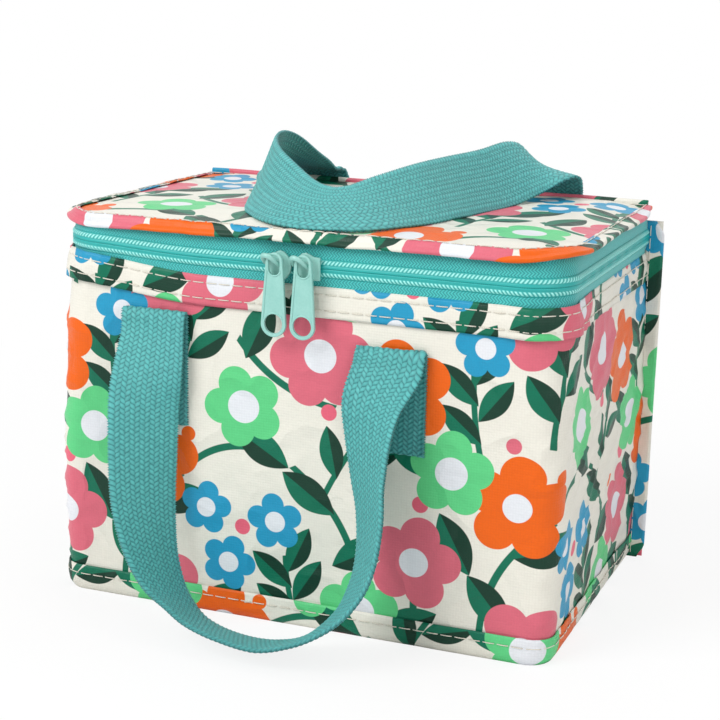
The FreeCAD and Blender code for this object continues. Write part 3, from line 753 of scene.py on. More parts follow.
for word, side in (("left", -1), ("right", 1)):
    fin = cut_cloth(FIN_STRIP, FIN_TOP, 18, 76)
    for vert in fin.verts:
        reach, deep = fin_section(vert.co.x)
        z = vert.co.y
        reach *= 1 - 0.45 * smooth_step(FIN_TOP - FIN_TAPER, FIN_TOP, z) ** 2
        reach *= 1 - 0.4 * (1 - smooth_step(0, FIN_TAPER, z)) ** 2
        close = 0.5 + 0.5 * smooth_step(0, FIN_CLOSE, z) - 0.5 * smooth_step(FIN_TOP - FIN_CLOSE, FIN_TOP, z)
        bend = fin_bend(z, side) * (reach / FIN_REACH)
        vert.co = (side * (HALF_WIDE + 0.15 * MM + reach), FIN_MIDDLE + deep * close + bend, z)
    if side < 0:
        bmesh.ops.reverse_faces(fin, faces=fin.faces)
    binding = make_piece(word + "_corner_strip", fin, fin_print, "bag")
    thicken(binding, LAMINATE)
    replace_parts(binding, word + "_corner_binding")

    def fin_row(share, side=side):
        z = FIN_TOP * (0.01 + 0.98 * share)
        bend = fin_bend(z, side) * (FIN_SEAM / FIN_REACH)
        y = FIN_MIDDLE - FIN_THICK / 2 - 0.1 * MM + bend
        return Vector((side * (HALF_WIDE + FIN_SEAM), y, z)), Vector((0, -1, 0))

    sew(word + "_corner_stitches", "bag", fin_row, int(FIN_TOP / STITCH_PITCH))

# ---- Foil lining ------------------------------------------------------------------
# Thin aluminised film, welded into a box and crinkled by use. It turns over the top
# edge of the foam to meet the zip's lower tape.


def foil_material():
    material, tree, shader = new_material("foil", Metallic=1.0, Roughness=0.28)
    place = object_place(tree)
    creases = tree.nodes.new("ShaderNodeTexVoronoi")
    creases.feature = "DISTANCE_TO_EDGE"
    creases.inputs["Scale"].default_value = 85.0
    warped = tree.nodes.new("ShaderNodeVectorMath")
    warped.operation = "MULTIPLY_ADD"
    wobble = tree.nodes.new("ShaderNodeTexNoise")
    wobble.inputs["Scale"].default_value = 60.0
    tree.links.new(place, wobble.inputs["Vector"])
    tree.links.new(wobble.outputs["Color"], warped.inputs[0])
    warped.inputs[1].default_value = (0.02, 0.02, 0.02)
    tree.links.new(place, warped.inputs[2])
    tree.links.new(warped.outputs[0], creases.inputs["Vector"])
    tone = mix_colours(tree, noise_node(tree, place, 40.0), (0.62, 0.63, 0.65, 1), (0.80, 0.81, 0.83, 1))
    tree.links.new(tone, shader.inputs["Base Color"])
    rough = math_node(tree, "MULTIPLY_ADD", noise_node(tree, place, 200.0), 0.25, 0.16)
    tree.links.new(rough, shader.inputs["Roughness"])
    bump_node(tree, shader, creases.outputs["Distance"], 2.5 * MM, 0.8)
    return material


foil = foil_material()
FOIL_THICK = 0.12 * MM
FOIL_IN = 4.7 * MM
FOIL_EDGE = 4.4 * MM
FLOOR_EDGE = 4.6 * MM
FOIL_LOW = 3.6 * MM
FOIL_TURN = 4.6 * MM


def foil_crinkle(place):
    slow = noise.noise(place * 35)
    sharp = 1 - abs(noise.noise(place * 90 + Vector((7, 1, 3))))
    return (0.35 * slow + 0.45 * sharp ** 4 - 0.3) * MM


sheet = cut_cloth(PLAN, WALL_TOP - FOIL_LOW + FOIL_TURN, 220, 66)
for vert in sheet.verts:
    climb = vert.co.y
    over = max(climb - (WALL_TOP - FOIL_LOW), 0.0)
    z = FOIL_LOW + climb - over + 0.9 * MM * math.sin(min(over / FOIL_TURN, 1) * math.pi * 0.5) ** 0.5
    spot, outward = plan_point(vert.co.x / PLAN, ZIP_RADIUS)
    fade = 1 - smooth_step(0, FOIL_TURN, over)
    inward = -FOIL_IN - foil_crinkle(Vector((spot.x, spot.y, z))) * fade
    spot += outward * (inward + over)
    vert.co = (spot.x, min(spot.y, HALF_DEEP - FOIL_EDGE), z)
wall_foil = make_piece("wall_foil", sheet, foil, "bag")
thicken(wall_foil, FOIL_THICK, 1.0)
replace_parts(wall_foil, "front_side_lining")

sheet = cut_cloth(2 * (HALF_WIDE - FOIL_EDGE), WALL_TOP - FOIL_LOW, 90, 60)
for vert in sheet.verts:
    x, z = vert.co.x - HALF_WIDE + FOIL_EDGE, FOIL_LOW + vert.co.y
    vert.co = (x, HALF_DEEP - FOIL_IN - foil_crinkle(Vector((x, 2, z))), z)
back_foil = make_piece("back_foil", sheet, foil, "bag")
thicken(back_foil, FOIL_THICK, 1.0)
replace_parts(back_foil, "back_lining")

sheet = cut_cloth(2 * (HALF_WIDE - FOIL_EDGE), 2 * (HALF_DEEP - FLOOR_EDGE), 90, 60)
for vert in sheet.verts:
    x = vert.co.x - HALF_WIDE + FOIL_EDGE
    y = vert.co.y - HALF_DEEP + FLOOR_EDGE
    corner = Vector((max(abs(x) - (HALF_WIDE - ZIP_RADIUS), 0), min(y + HALF_DEEP - ZIP_RADIUS, 0), 0))
    limit = ZIP_RADIUS - FLOOR_EDGE
    if corner.length > limit and corner.x > 0 and corner.y < 0:
        corner = corner.normalized() * limit
        x = math.copysign(HALF_WIDE - ZIP_RADIUS + corner.x, x)
        y = corner.y - HALF_DEEP + ZIP_RADIUS
    vert.co = (x, y, FOIL_LOW + 1.1 * MM + abs(foil_crinkle(Vector((x, y, 9)))))
floor_foil = make_piece("floor_foil", sheet, foil, "bag")
thicken(floor_foil, FOIL_THICK, 1.0)
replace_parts(floor_foil, "bottom_lining")

# ---- Zip tapes and coils ----------------------------------------------------------
# A teal nylon coil zip runs round three sides. Each half is a woven tape with a coil
# sewn along its edge: a row of stitches, painted lighter on their crowns as a painted
# highlight, beside the smooth ribbed coil. The lower half belongs to the bag and the
# upper half to the lid.

CHAIN_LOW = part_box("lower_zip_coil")[0][2]
CHAIN_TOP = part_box("upper_zip_coil")[1][2]
CHAIN_MIDDLE = (CHAIN_LOW + CHAIN_TOP) / 2
ZIP_CLIMB = 2.4 * MM
COIL_PITCH = 1.55 * MM
ROW_IN = 1.25 * MM
ROW_SLANT = 0.7
TAPE_RIB = 1.3 * MM
TAPE_THICK = 0.5 * MM
TAPE_TEAL = (0.075, 0.62, 0.59, 1)
# Painted shade for the furrows between the tape's ribs.
TAPE_FURROW_SHADE = (0.010, 0.27, 0.27, 1)
COIL_TEAL = (0.014, 0.39, 0.37, 1)
# Painted highlight for the crowns of the coil's row of stitches.
STITCH_HIGHLIGHT_TEAL = (0.36, 0.86, 0.80, 1)


def zip_climb(spot):
    return ZIP_CLIMB * left_climb(spot)


def tape_material():
    """Herringbone tape: fine slanted ribs whose slant turns over every few ribs, with painted shade in the
    furrows between them.
    """
    material, tree, shader = new_material("zip_tape", Roughness=0.62, Sheen_Weight=0.25)
    place = cloth_place(tree)
    parts = tree.nodes.new("ShaderNodeSeparateXYZ")
    tree.links.new(place, parts.inputs[0])
    slant = math_node(tree, "PINGPONG", parts.outputs[1], TAPE_RIB)
    rib = math_node(tree, "ADD", parts.outputs[0], slant)
    wave = math_node(tree, "SINE", math_node(tree, "MULTIPLY", rib, 2 * math.pi / TAPE_RIB))
    height = math_node(tree, "MULTIPLY_ADD", wave, 0.5, 0.5)
    mottle = math_node(tree, "MULTIPLY_ADD", noise_node(tree, place, 500.0), 0.5, 0.6)
    rib_shade_and_mottle = math_node(tree, "MULTIPLY", height, mottle)
    # The furrows between the ribs are painted dark as painted shade, and a random mottle varies the colour.
    tree.links.new(mix_colours(tree, rib_shade_and_mottle, TAPE_FURROW_SHADE, TAPE_TEAL), shader.inputs["Base Color"])
    bump_node(tree, shader, height, 0.12 * MM, 0.8)
    return material


def coil_material():
    """Ribbed coil whose row of stitches has a painted highlight on the stitch crowns; the map runs from the
    tape to the middle.
    """
    material, tree, shader = new_material("zip_coil", Roughness=0.38, Specular_IOR_Level=0.5)
    place = cloth_place(tree)
    parts = tree.nodes.new("ShaderNodeSeparateXYZ")
    tree.links.new(place, parts.inputs[0])
    off = math_node(tree, "ABSOLUTE", math_node(tree, "SUBTRACT", parts.outputs[1], ROW_IN))
    row = math_node(tree, "DIVIDE", math_node(tree, "SUBTRACT", 0.92 * MM, off), 0.3 * MM, clamp=True)
    slanted = math_node(tree, "MULTIPLY_ADD", parts.outputs[1], ROW_SLANT, parts.outputs[0])
    wave = math_node(tree, "SINE", math_node(tree, "MULTIPLY", slanted, 2 * math.pi / COIL_PITCH))
    crown_highlight = math_node(tree, "MULTIPLY_ADD", wave, 0.65, 0.55, clamp=True)
    mask = math_node(tree, "MULTIPLY", row, crown_highlight)
    # The stitch crowns along the row get a painted highlight in the colour.
    tree.links.new(mix_colours(tree, mask, COIL_TEAL, STITCH_HIGHLIGHT_TEAL), shader.inputs["Base Color"])
    thread = math_node(tree, "SINE", math_node(tree, "MULTIPLY", slanted, 2 * math.pi / (0.3 * MM)))
    bump_node(tree, shader, math_node(tree, "MULTIPLY", thread, row), 0.05 * MM, 0.5)
    return material


zip_tape = tape_material()
zip_coil = coil_material()


def coil_half(name, side, body, node_name):
    """Half of the chain as a sewn cord; side is -1 for the lower half, 1 for the upper."""
    tall = (CHAIN_TOP - CHAIN_LOW) / 2
    cord = cut_cloth(PLAN, tall, 1250, 12)
    for vert in cord.verts:
        along, climb = vert.co.x, vert.co.y
        spot, outward = plan_point(along / PLAN, ZIP_RADIUS)
        z = CHAIN_MIDDLE + side * (tall - climb + 0.01 * MM) + zip_climb(spot)
        row = math.exp(-((climb - ROW_IN) / (0.75 * MM)) ** 2)
        slanted = along + ROW_SLANT * climb
        stitch = 0.5 + 0.5 * math.sin(2 * math.pi * slanted / COIL_PITCH)
        rib = 0.5 + 0.5 * math.sin(4 * math.pi * along / COIL_PITCH + (math.pi if side > 0 else 0))
        middle = smooth_step(2.1 * MM, 2.7 * MM, climb)
        out = 0.6 * MM + 1.0 * MM * math.sin(min(climb / tall + 0.12, 1.0) * math.pi * 0.5)
        out += (0.30 * row + 0.22 * row * stitch + 0.14 * middle * rib) * MM
        out -= 0.35 * MM * math.exp(-((climb - 2.25 * MM) / (0.18 * MM)) ** 2)
        out -= 0.15 * MM * smooth_step(0.97, 1.0, climb / tall)
        spot += outward * out
        vert.co = (spot.x, spot.y, z)
    if side > 0:
        bmesh.ops.reverse_faces(cord, faces=cord.faces)
    piece = make_piece(name, cord, zip_coil, body)
    thicken(piece, 1.4 * MM)
    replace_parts(piece, node_name)


coil_half("lower_coil_cord", -1, "bag", "lower_zip_coil")
coil_half("upper_coil_cord", 1, "lid", "upper_zip_coil")

TAPE_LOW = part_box("lower_zip_tape")[0][2]
TAPE_LAP = 0.6 * MM
UPPER_TAPE_TALL = 10 * MM


def lower_tape_stand(spot, outward, z):
    tuck = wall_slack(spot, outward, min(z, HEM_TOP)) + 0.05 * MM
    return tuck + (0.75 * MM - tuck) * smooth_step(HEM_TOP, CHAIN_LOW, z)


tape = cut_cloth(PLAN, CHAIN_LOW + TAPE_LAP - TAPE_LOW, 236, 14)
wrap_cloth(tape, TAPE_LOW, lower_tape_stand)
for vert in tape.verts:
    share = (vert.co.z - TAPE_LOW) / (CHAIN_LOW - TAPE_LOW)
    vert.co.z += hem_climb(vert.co) * (1 - share) + zip_climb(vert.co) * share
lower_tape = make_piece("lower_tape_strip", tape, zip_tape, "bag")
thicken(lower_tape, TAPE_THICK)
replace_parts(lower_tape, "lower_zip_tape")

# ---- Lid --------------------------------------------------------------------------
# The lid is a flat panel of laminate over foam and foil. It sags and ripples a
# little, its front right corner is cut rounder than the zip, and its edge is bound
# with a folded strip that droops over the zip at the front.

LID_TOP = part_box("lid_panel")[1][2]
LID_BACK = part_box("lid_panel")[1][1]
LID_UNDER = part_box("lid_lining")[0][2]
SEAM_INSET = 1.0 * MM


def lid_radius(x):
    return (26 if x > 0 else 19) * MM


def lid_edge(share):
    """Place and outward direction on the lid's seam line, round its three sides."""
    spot, outward = plan_point(share, lid_radius(share - 0.5))
    return spot - outward * SEAM_INSET, outward


def lid_wave(x, y):
    """Height of the lid's top above its flat level; never under it."""
    slow = noise.noise(Vector((x * 14, y * 14, 1.5)))
    fine = noise.noise(Vector((x * 45, y * 30, 6.5)))
    long_crease = 1 - abs(noise.noise(Vector((x * 9 - y * 22, y * 10 + x * 4, 8))))
    rim = min(HALF_WIDE - abs(x), HALF_DEEP + y)
    puff = smooth_step(0, 18 * MM, rim)
    return (0.25 + puff * (0.9 + 0.9 * slow + 0.25 * fine + 0.6 * long_crease ** 6)) * MM


def lid_cloth(cells_x, cells_y, inset):
    """A level cloth of the lid's outline; inset moves its edge in."""
    cloth = cut_cloth(2 * HALF_WIDE, LID_BACK + HALF_DEEP, cells_x, cells_y)
    for vert in cloth.verts:
        x = (vert.co.x - HALF_WIDE) * (1 - inset / HALF_WIDE)
        y = (vert.co.y - HALF_DEEP - LID_BACK) * (1 - inset / (2 * HALF_DEEP)) + LID_BACK
        radius = lid_radius(x)
        reach = Vector((max(abs(x) - HALF_WIDE + inset + radius, 0),
                        min(y + HALF_DEEP - inset - radius, 0), 0))
        if reach.x > 0 and reach.y < 0:
            square = max(reach.x, -reach.y)
            reach *= square / reach.length
            x = math.copysign(HALF_WIDE - inset - radius + reach.x, x)
            y = reach.y - HALF_DEEP + inset + radius
        vert.co = (x, y, 0)
    return cloth


panel = lid_cloth(110, 76, 0.0)
for vert in panel.verts:
    vert.co.z = LID_TOP + lid_wave(vert.co.x, vert.co.y)
lid_panel = make_piece("lid_cloth", panel, printed_laminate("print_lid", (28, 52)), "lid")
thicken(lid_panel, LAMINATE)
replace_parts(lid_panel, "lid_panel")

core = lid_cloth(60, 40, 1.2 * MM)
for vert in core.verts:
    vert.co.z = LID_TOP - 0.6 * MM
lid_foam = make_piece("lid_foam_sheet", core, white_foam, "lid")
thicken(lid_foam, 2.9 * MM)
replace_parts(lid_foam, "lid_foam")

under = lid_cloth(100, 66, 1.0 * MM)
bmesh.ops.reverse_faces(under, faces=under.faces)
for vert in under.verts:
    vert.co.z = LID_UNDER + 0.1 * MM - abs(foil_crinkle(vert.co * 1.3)) * 0.8
lid_foil = make_piece("lid_foil", under, foil, "lid")
thicken(lid_foil, FOIL_THICK)
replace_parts(lid_foil, "lid_lining")

# The folded strip: across its width it runs from the seam out over the top, round
# the edge and back underneath.
RIM_WIDE = 5.8 * MM
RIM_THICK = 1.9 * MM
RIM_STRIP = 2 * RIM_WIDE + math.pi * RIM_THICK / 2
RIM_SEAM = 1.5 * MM
BINDING_CLOTH = 0.3 * MM


def rim_droop(spot, outward):
    """Angle by which the rim turns down: most at the front, little at the sides."""
    front = max(-outward.y, 0.0)
    wobble = noise.noise(Vector((spot.x * 24, spot.y * 24, 2)))
    left_tip = 0.35 * math.exp(-((spot.x + HALF_WIDE) / (26 * MM)) ** 2) * front
    return 0.12 + 0.42 * front ** 2 + 0.24 * wobble + left_tip


def rim_point(share, across):
    """Place on the folded rim strip, and the way out of its surface."""
    spot, outward = lid_edge(share)
    droop = rim_droop(spot, outward)
    if across < RIM_WIDE:
        reach, rise = across, RIM_THICK / 2
    elif across < RIM_WIDE + math.pi * RIM_THICK / 2:
        angle = (across - RIM_WIDE) / (RIM_THICK / 2)
        reach = RIM_WIDE + math.sin(angle) * RIM_THICK / 2
        rise = math.cos(angle) * RIM_THICK / 2
    else:
        reach, rise = RIM_STRIP - across, -RIM_THICK / 2
    reach *= 1 - 0.5 * smooth_step(46 * MM, 68 * MM, spot.y)
    bend = droop * smooth_step(0.5 * MM, 4.5 * MM, reach)
    along_out = math.cos(bend) * reach - 1.2 * MM * droop * smooth_step(0, RIM_WIDE, reach)
    down = math.sin(bend) * reach * 0.9
    pucker = 0.45 * MM * noise.noise(Vector((spot.x * 120, spot.y * 120, reach * 90)))
    top = LID_TOP + lid_wave(spot.x, spot.y) - 0.2 * MM
    lift = outward * math.sin(bend) + Vector((0, 0, math.cos(bend)))
    place = spot + outward * along_out + Vector((0, 0, top - down)) + lift * (rise + pucker)
    return place, lift


rim = cut_cloth(PLAN, RIM_STRIP, 330, 26)
for vert in rim.verts:
    vert.co = rim_point(vert.co.x / PLAN, RIM_STRIP - vert.co.y)[0]
lid_rim = make_piece("lid_rim_strip", rim, printed_laminate("print_rim", (97, 101)), "lid")
thicken(lid_rim, BINDING_CLOTH)
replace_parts(lid_rim, "lid_binding")


def rim_row(share):
    place, lift = rim_point(share, RIM_SEAM)
    return place + lift * THREAD_LIFT, lift


sew("rim_stitches", "lid", rim_row, stitches_round)

tape = cut_cloth(PLAN, UPPER_TAPE_TALL, 236, 10)
for vert in tape.verts:
    share = vert.co.x / PLAN
    climb = vert.co.y / UPPER_TAPE_TALL
    low, outward = plan_point(share, ZIP_RADIUS)
    low += outward * 0.7 * MM + Vector((0, 0, CHAIN_TOP - TAPE_LAP + zip_climb(low)))
    high, outward = lid_edge(share)
    high += Vector((0, 0, LID_TOP - 1.3 * MM))
    sag = outward * 0.5 * MM * math.sin(math.pi * climb)
    vert.co = low.lerp(high, climb) + sag
upper_tape = make_piece("upper_tape_strip", tape, zip_tape, "lid")
thicken(upper_tape, TAPE_THICK)
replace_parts(upper_tape, "upper_zip_tape")

# ---- Back ridge of the lid ----------------------------------------------------------
# Along the back the lid's seam stands up as a bound ridge, sewn through below its top.

RIDGE_LOW, RIDGE_HIGH = (Vector(corner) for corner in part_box("lid_back_ridge"))
RIDGE_THICK = 1.9 * MM
RIDGE_LEG = RIDGE_HIGH.z - RIDGE_LOW.z - RIDGE_THICK / 2
RIDGE_STRIP = 2 * RIDGE_LEG + math.pi * RIDGE_THICK / 2


def ridge_point(x, across):
    """Up the front of the ridge, over its top and down the back."""
    bend = math.pi * RIDGE_THICK / 2
    if across < RIDGE_LEG:
        deep, rise = -RIDGE_THICK / 2, across
    elif across < RIDGE_LEG + bend:
        angle = (across - RIDGE_LEG) / (RIDGE_THICK / 2)
        deep = -math.cos(angle) * RIDGE_THICK / 2
        rise = RIDGE_LEG + math.sin(angle) * RIDGE_THICK / 2
    else:
        deep, rise = RIDGE_THICK / 2, RIDGE_STRIP - across
    lean = 1.2 * MM * noise.noise(Vector((x * 20, 3, 3))) * (rise / RIDGE_LEG) ** 2
    swell = 1 + 0.14 * noise.noise(Vector((x * 28, 8, 1)))
    return Vector((x, HALF_DEEP + deep + lean, RIDGE_LOW.z + rise * swell))


ridge = cut_cloth(2 * HALF_WIDE, RIDGE_STRIP, 130, 20)
for vert in ridge.verts:
    vert.co = ridge_point(vert.co.x - HALF_WIDE, vert.co.y)
lid_ridge = make_piece("lid_ridge_strip", ridge, printed_laminate("print_ridge", (10, 119)), "lid")
thicken(lid_ridge, BINDING_CLOTH)
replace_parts(lid_ridge, "lid_back_ridge")


def ridge_row(share):
    place = ridge_point((2 * share - 1) * HALF_WIDE, RIDGE_LEG - 1.2 * MM)
    return place - Vector((0, 0.1 * MM, 0)), Vector((0, -1, 0))


sew("ridge_stitches", "lid", ridge_row, stitches_across)

# ---- Webbing ------------------------------------------------------------------------
# Both handles are flat webbing, woven from thick yarn so that each face is rows of
# slanted knuckles. A band is laid along a line through a few stations, each the
# middle of the band, in millimetres, and the direction across it.

STRAP_WIDE = 27 * MM
STRAP_THICK = 1.15 * MM
KNUCKLE = 2.0 * MM
KNUCKLE_TALL = 0.5 * MM
LEAN = 0.6
YARN = 0.28 * MM
STRAP_CELL = 0.5 * MM
STRAP_EDGE = 1.2 * MM
# Painted shade for the pits between the knuckles, and a painted highlight for their crowns.
WEBBING_PIT_SHADE = (0.005, 0.11, 0.12, 1)
WEBBING_CROWN_HIGHLIGHT = (0.10, 0.49, 0.48, 1)


def humps(tree, measure):
    """A round hump for each knuckle along a measure, 0 in the furrows and 1 on top."""
    turns = math_node(tree, "MULTIPLY", measure, math.pi / KNUCKLE)
    return math_node(tree, "ABSOLUTE", math_node(tree, "SINE", turns))


def webbing_material():
    material, tree, shader = new_material("webbing", Roughness=0.5, Sheen_Weight=0.12, Sheen_Roughness=0.4)
    place = cloth_place(tree)
    parts = tree.nodes.new("ShaderNodeSeparateXYZ")
    tree.links.new(place, parts.inputs[0])
    column = math_node(tree, "FLOOR", math_node(tree, "DIVIDE", parts.outputs[1], KNUCKLE))
    odd = math_node(tree, "MODULO", math_node(tree, "ABSOLUTE", column), 2.0)
    stagger = math_node(tree, "MULTIPLY", odd, KNUCKLE / 2)
    across = math_node(tree, "MULTIPLY_ADD", humps(tree, parts.outputs[1]), 0.6, 0.4)
    lean = math_node(tree, "MULTIPLY", math_node(tree, "PINGPONG", parts.outputs[1], KNUCKLE), -LEAN)
    shifted = math_node(tree, "ADD", math_node(tree, "ADD", parts.outputs[0], lean), stagger)
    crown = math_node(tree, "POWER", math_node(tree, "MULTIPLY", across, humps(tree, shifted)), 0.55)
    strand = math_node(tree, "MULTIPLY_ADD", parts.outputs[1], 0.6, shifted)
    yarn = math_node(tree, "SINE", math_node(tree, "MULTIPLY", strand, 2 * math.pi / YARN))
    patchy = math_node(tree, "MULTIPLY_ADD", noise_node(tree, place, 420.0), 0.9, 0.5)
    # The knuckles' crowns are painted light as a painted highlight and the pits dark as painted shade; random
    # patches vary it.
    tone = math_node(tree, "MULTIPLY", crown, patchy, clamp=True)
    tree.links.new(mix_colours(tree, tone, WEBBING_PIT_SHADE, WEBBING_CROWN_HIGHLIGHT), shader.inputs["Base Color"])
    bump_node(tree, shader, yarn, 0.05 * MM, 0.5)
    return material


webbing = webbing_material()


def curve_at(points, place):
    """Smooth curve through points; place runs from 0 to the last index."""
    last = len(points) - 1
    index = min(int(place), last - 1)
    share = place - index
    before, start, stop, after = (points[min(max(index + step, 0), last)] for step in (-1, 0, 1, 2))
    bend = 2 * start - 2 * stop + (stop - before) / 2 + (after - start) / 2
    slope = (stop - before) / 2
    rest = stop - start - slope - bend
    return start + slope * share + rest * share ** 2 + bend * share ** 3


class Band:
    """A band's middle line and across direction, measured along its length."""

    def __init__(self, stations, steps=40):
        self.steps = steps
        self.centres = [Vector(centre) * MM for centre, _ in stations]
        self.across = [Vector(across).normalized() for _, across in stations]
        self.places = [index / steps for index in range((len(stations) - 1) * steps + 1)]
        spots = [curve_at(self.centres, place) for place in self.places]
        self.runs = [0.0]
        for before, after in zip(spots, spots[1:]):
            self.runs.append(self.runs[-1] + (after - before).length)
        self.length = self.runs[-1]
        self.hint = 0

    def frame_at(self, run):
        """Middle, across and face directions at a length along the band."""
        if run < self.runs[self.hint]:
            self.hint = 0
        while self.hint < len(self.runs) - 2 and self.runs[self.hint + 1] < run:
            self.hint += 1
        low, high = self.runs[self.hint], self.runs[self.hint + 1]
        share = (run - low) / max(high - low, 1e-9)
        place = self.places[self.hint] + share * (self.places[self.hint + 1] - self.places[self.hint])
        middle = curve_at(self.centres, place)
        ahead = curve_at(self.centres, min(place + 0.02, len(self.centres) - 1))
        behind = curve_at(self.centres, max(place - 0.02, 0))
        along = (ahead - behind).normalized()
        across = curve_at(self.across, place)
        across = (across - along * across.dot(along)).normalized()
        return middle, across, along.cross(across)


def lay_webbing(name, line, start, stop):
    """The part of a band's webbing from start to stop along its line."""
    cells = int((stop - start) / STRAP_CELL)
    strap = cut_cloth(stop - start, STRAP_WIDE, cells, 56, shift=(start, 0.0))
    frames = {}
    for vert in strap.verts:
        run = start + vert.co.x
        key = round(run / STRAP_CELL * 4)
        if key not in frames:
            frames[key] = line.frame_at(min(max(run, 0), line.length))
        middle, across, face = frames[key]
        column = int(vert.co.y / KNUCKLE)
        part = vert.co.y / KNUCKLE - column
        lean = LEAN * (1 - part if column % 2 else part)
        turns = run / KNUCKLE + 0.5 * (column % 2) - lean
        crown = (0.4 + 0.6 * abs(math.sin(math.pi * part))) * abs(math.sin(math.pi * turns))
        wide = vert.co.y - STRAP_WIDE / 2
        edge = smooth_step(STRAP_WIDE / 2 - STRAP_EDGE, STRAP_WIDE / 2, abs(wide))
        wide += math.copysign(edge * 0.8 * MM * math.sin(2 * math.pi * run / KNUCKLE), wide)
        rise = KNUCKLE_TALL * crown ** 0.6 - edge * 0.25 * MM
        vert.co = middle + across * wide + face * rise
    piece = make_piece(name, strap, webbing)
    thicken(piece, STRAP_THICK, 0.0)
    return piece


# ---- Front handle ---------------------------------------------------------------------
# Each end is sewn flat on the front, runs up and folds over at the top. The loop hangs
# from the folds, twists as it stands out from the bag and almost reaches the floor.

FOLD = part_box("front_strap_ends")[1][2] / MM
PATCH_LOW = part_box("front_strap_ends")[0][2] / MM
FRONT = -HALF_DEEP / MM
LEFT_END = -60.5
RIGHT_END = 40.0
OVER_WALL = FRONT - 1.9
front_stations = [
    ((LEFT_END, OVER_WALL, PATCH_LOW), (1, 0, 0)),
    ((LEFT_END, OVER_WALL, PATCH_LOW + 16), (1, 0, 0)),
    ((LEFT_END, OVER_WALL, FOLD - 8), (1, 0, 0)),
    ((LEFT_END, OVER_WALL - 0.2, FOLD + 0.4), (1, 0, 0)),
    ((LEFT_END, OVER_WALL - 1.3, FOLD + 2.2), (1, 0, 0)),
    ((LEFT_END, OVER_WALL - 2.4, FOLD + 0.2), (1, 0, 0)),
    ((LEFT_END, OVER_WALL - 3.4, FOLD - 8), (1, 0, 0)),
    ((LEFT_END + 0.3, FRONT - 10.2, FOLD - 22), (0.96, 0.28, 0)),
    ((LEFT_END + 0.2, FRONT - 13.0, FOLD - 34), (0.85, 0.53, 0)),
    ((LEFT_END + 1.5, FRONT - 16.5, 68), (0.74, 0.67, 0)),
    ((LEFT_END + 3.5, FRONT - 20.0, 50), (0.6, 0.8, -0.05)),
    ((LEFT_END + 8.5, FRONT - 24.0, 33), (0.35, 0.93, -0.1)),
    ((LEFT_END + 15.0, FRONT - 27.0, 21.5), (0.1, 0.98, -0.1)),
    ((LEFT_END + 23.0, FRONT - 29.0, 13.5), (-0.1, 0.98, -0.2)),
    ((LEFT_END + 33.0, FRONT - 31.5, 7.9), (-0.2, 0.95, -0.26)),
    ((LEFT_END + 48.0, FRONT - 34.0, 5.1), (-0.25, 0.93, -0.27)),
    ((RIGHT_END - 35.5, FRONT - 35.0, 4.9), (-0.28, 0.93, -0.25)),
    ((RIGHT_END - 22.0, FRONT - 33.5, 9), (-0.34, 0.89, -0.33)),
    ((RIGHT_END - 9.5, FRONT - 30.5, 19), (-0.42, 0.87, -0.27)),
    ((RIGHT_END - 3.0, FRONT - 27.0, 30), (-0.5, 0.84, -0.2)),
    ((RIGHT_END - 0.2, FRONT - 24.0, 42), (-0.56, 0.82, -0.1)),
    ((RIGHT_END - 0.4, FRONT - 20.5, 57), (-0.64, 0.77, 0)),
    ((RIGHT_END - 2.8, FRONT - 17.0, 71), (-0.72, 0.69, 0)),
    ((RIGHT_END - 4.5, FRONT - 13.5, FOLD - 36), (-0.84, 0.54, 0)),
    ((RIGHT_END - 4.5, FRONT - 10.4, FOLD - 23), (-0.96, 0.28, 0)),
    ((RIGHT_END - 1.0, OVER_WALL - 3.4, FOLD - 11), (-1, 0, 0)),
    ((RIGHT_END, OVER_WALL - 2.4, FOLD - 5.4), (-1, 0, 0)),
    ((RIGHT_END, OVER_WALL - 1.3, FOLD - 3.4), (-1, 0, 0)),
    ((RIGHT_END, OVER_WALL - 0.2, FOLD - 5.2), (-1, 0, 0)),
    ((RIGHT_END, OVER_WALL, FOLD - 13), (-1, 0, 0)),
    ((RIGHT_END, OVER_WALL, PATCH_LOW + 16), (-1, 0, 0)),
    ((RIGHT_END, OVER_WALL, PATCH_LOW), (-1, 0, 0)),
]
front_line = Band(front_stations)
front_handle = lay_webbing("front_handle_webbing", front_line, 0.0, front_line.length)
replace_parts(front_handle, "front_strap", "front_strap_ends")
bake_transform(front_handle)

# ---- Rear handle ----------------------------------------------------------------------
# The same handle on the back, thrown forward over the lid. It comes up the back,
# bends over the ridge and rests tilted on the lid.

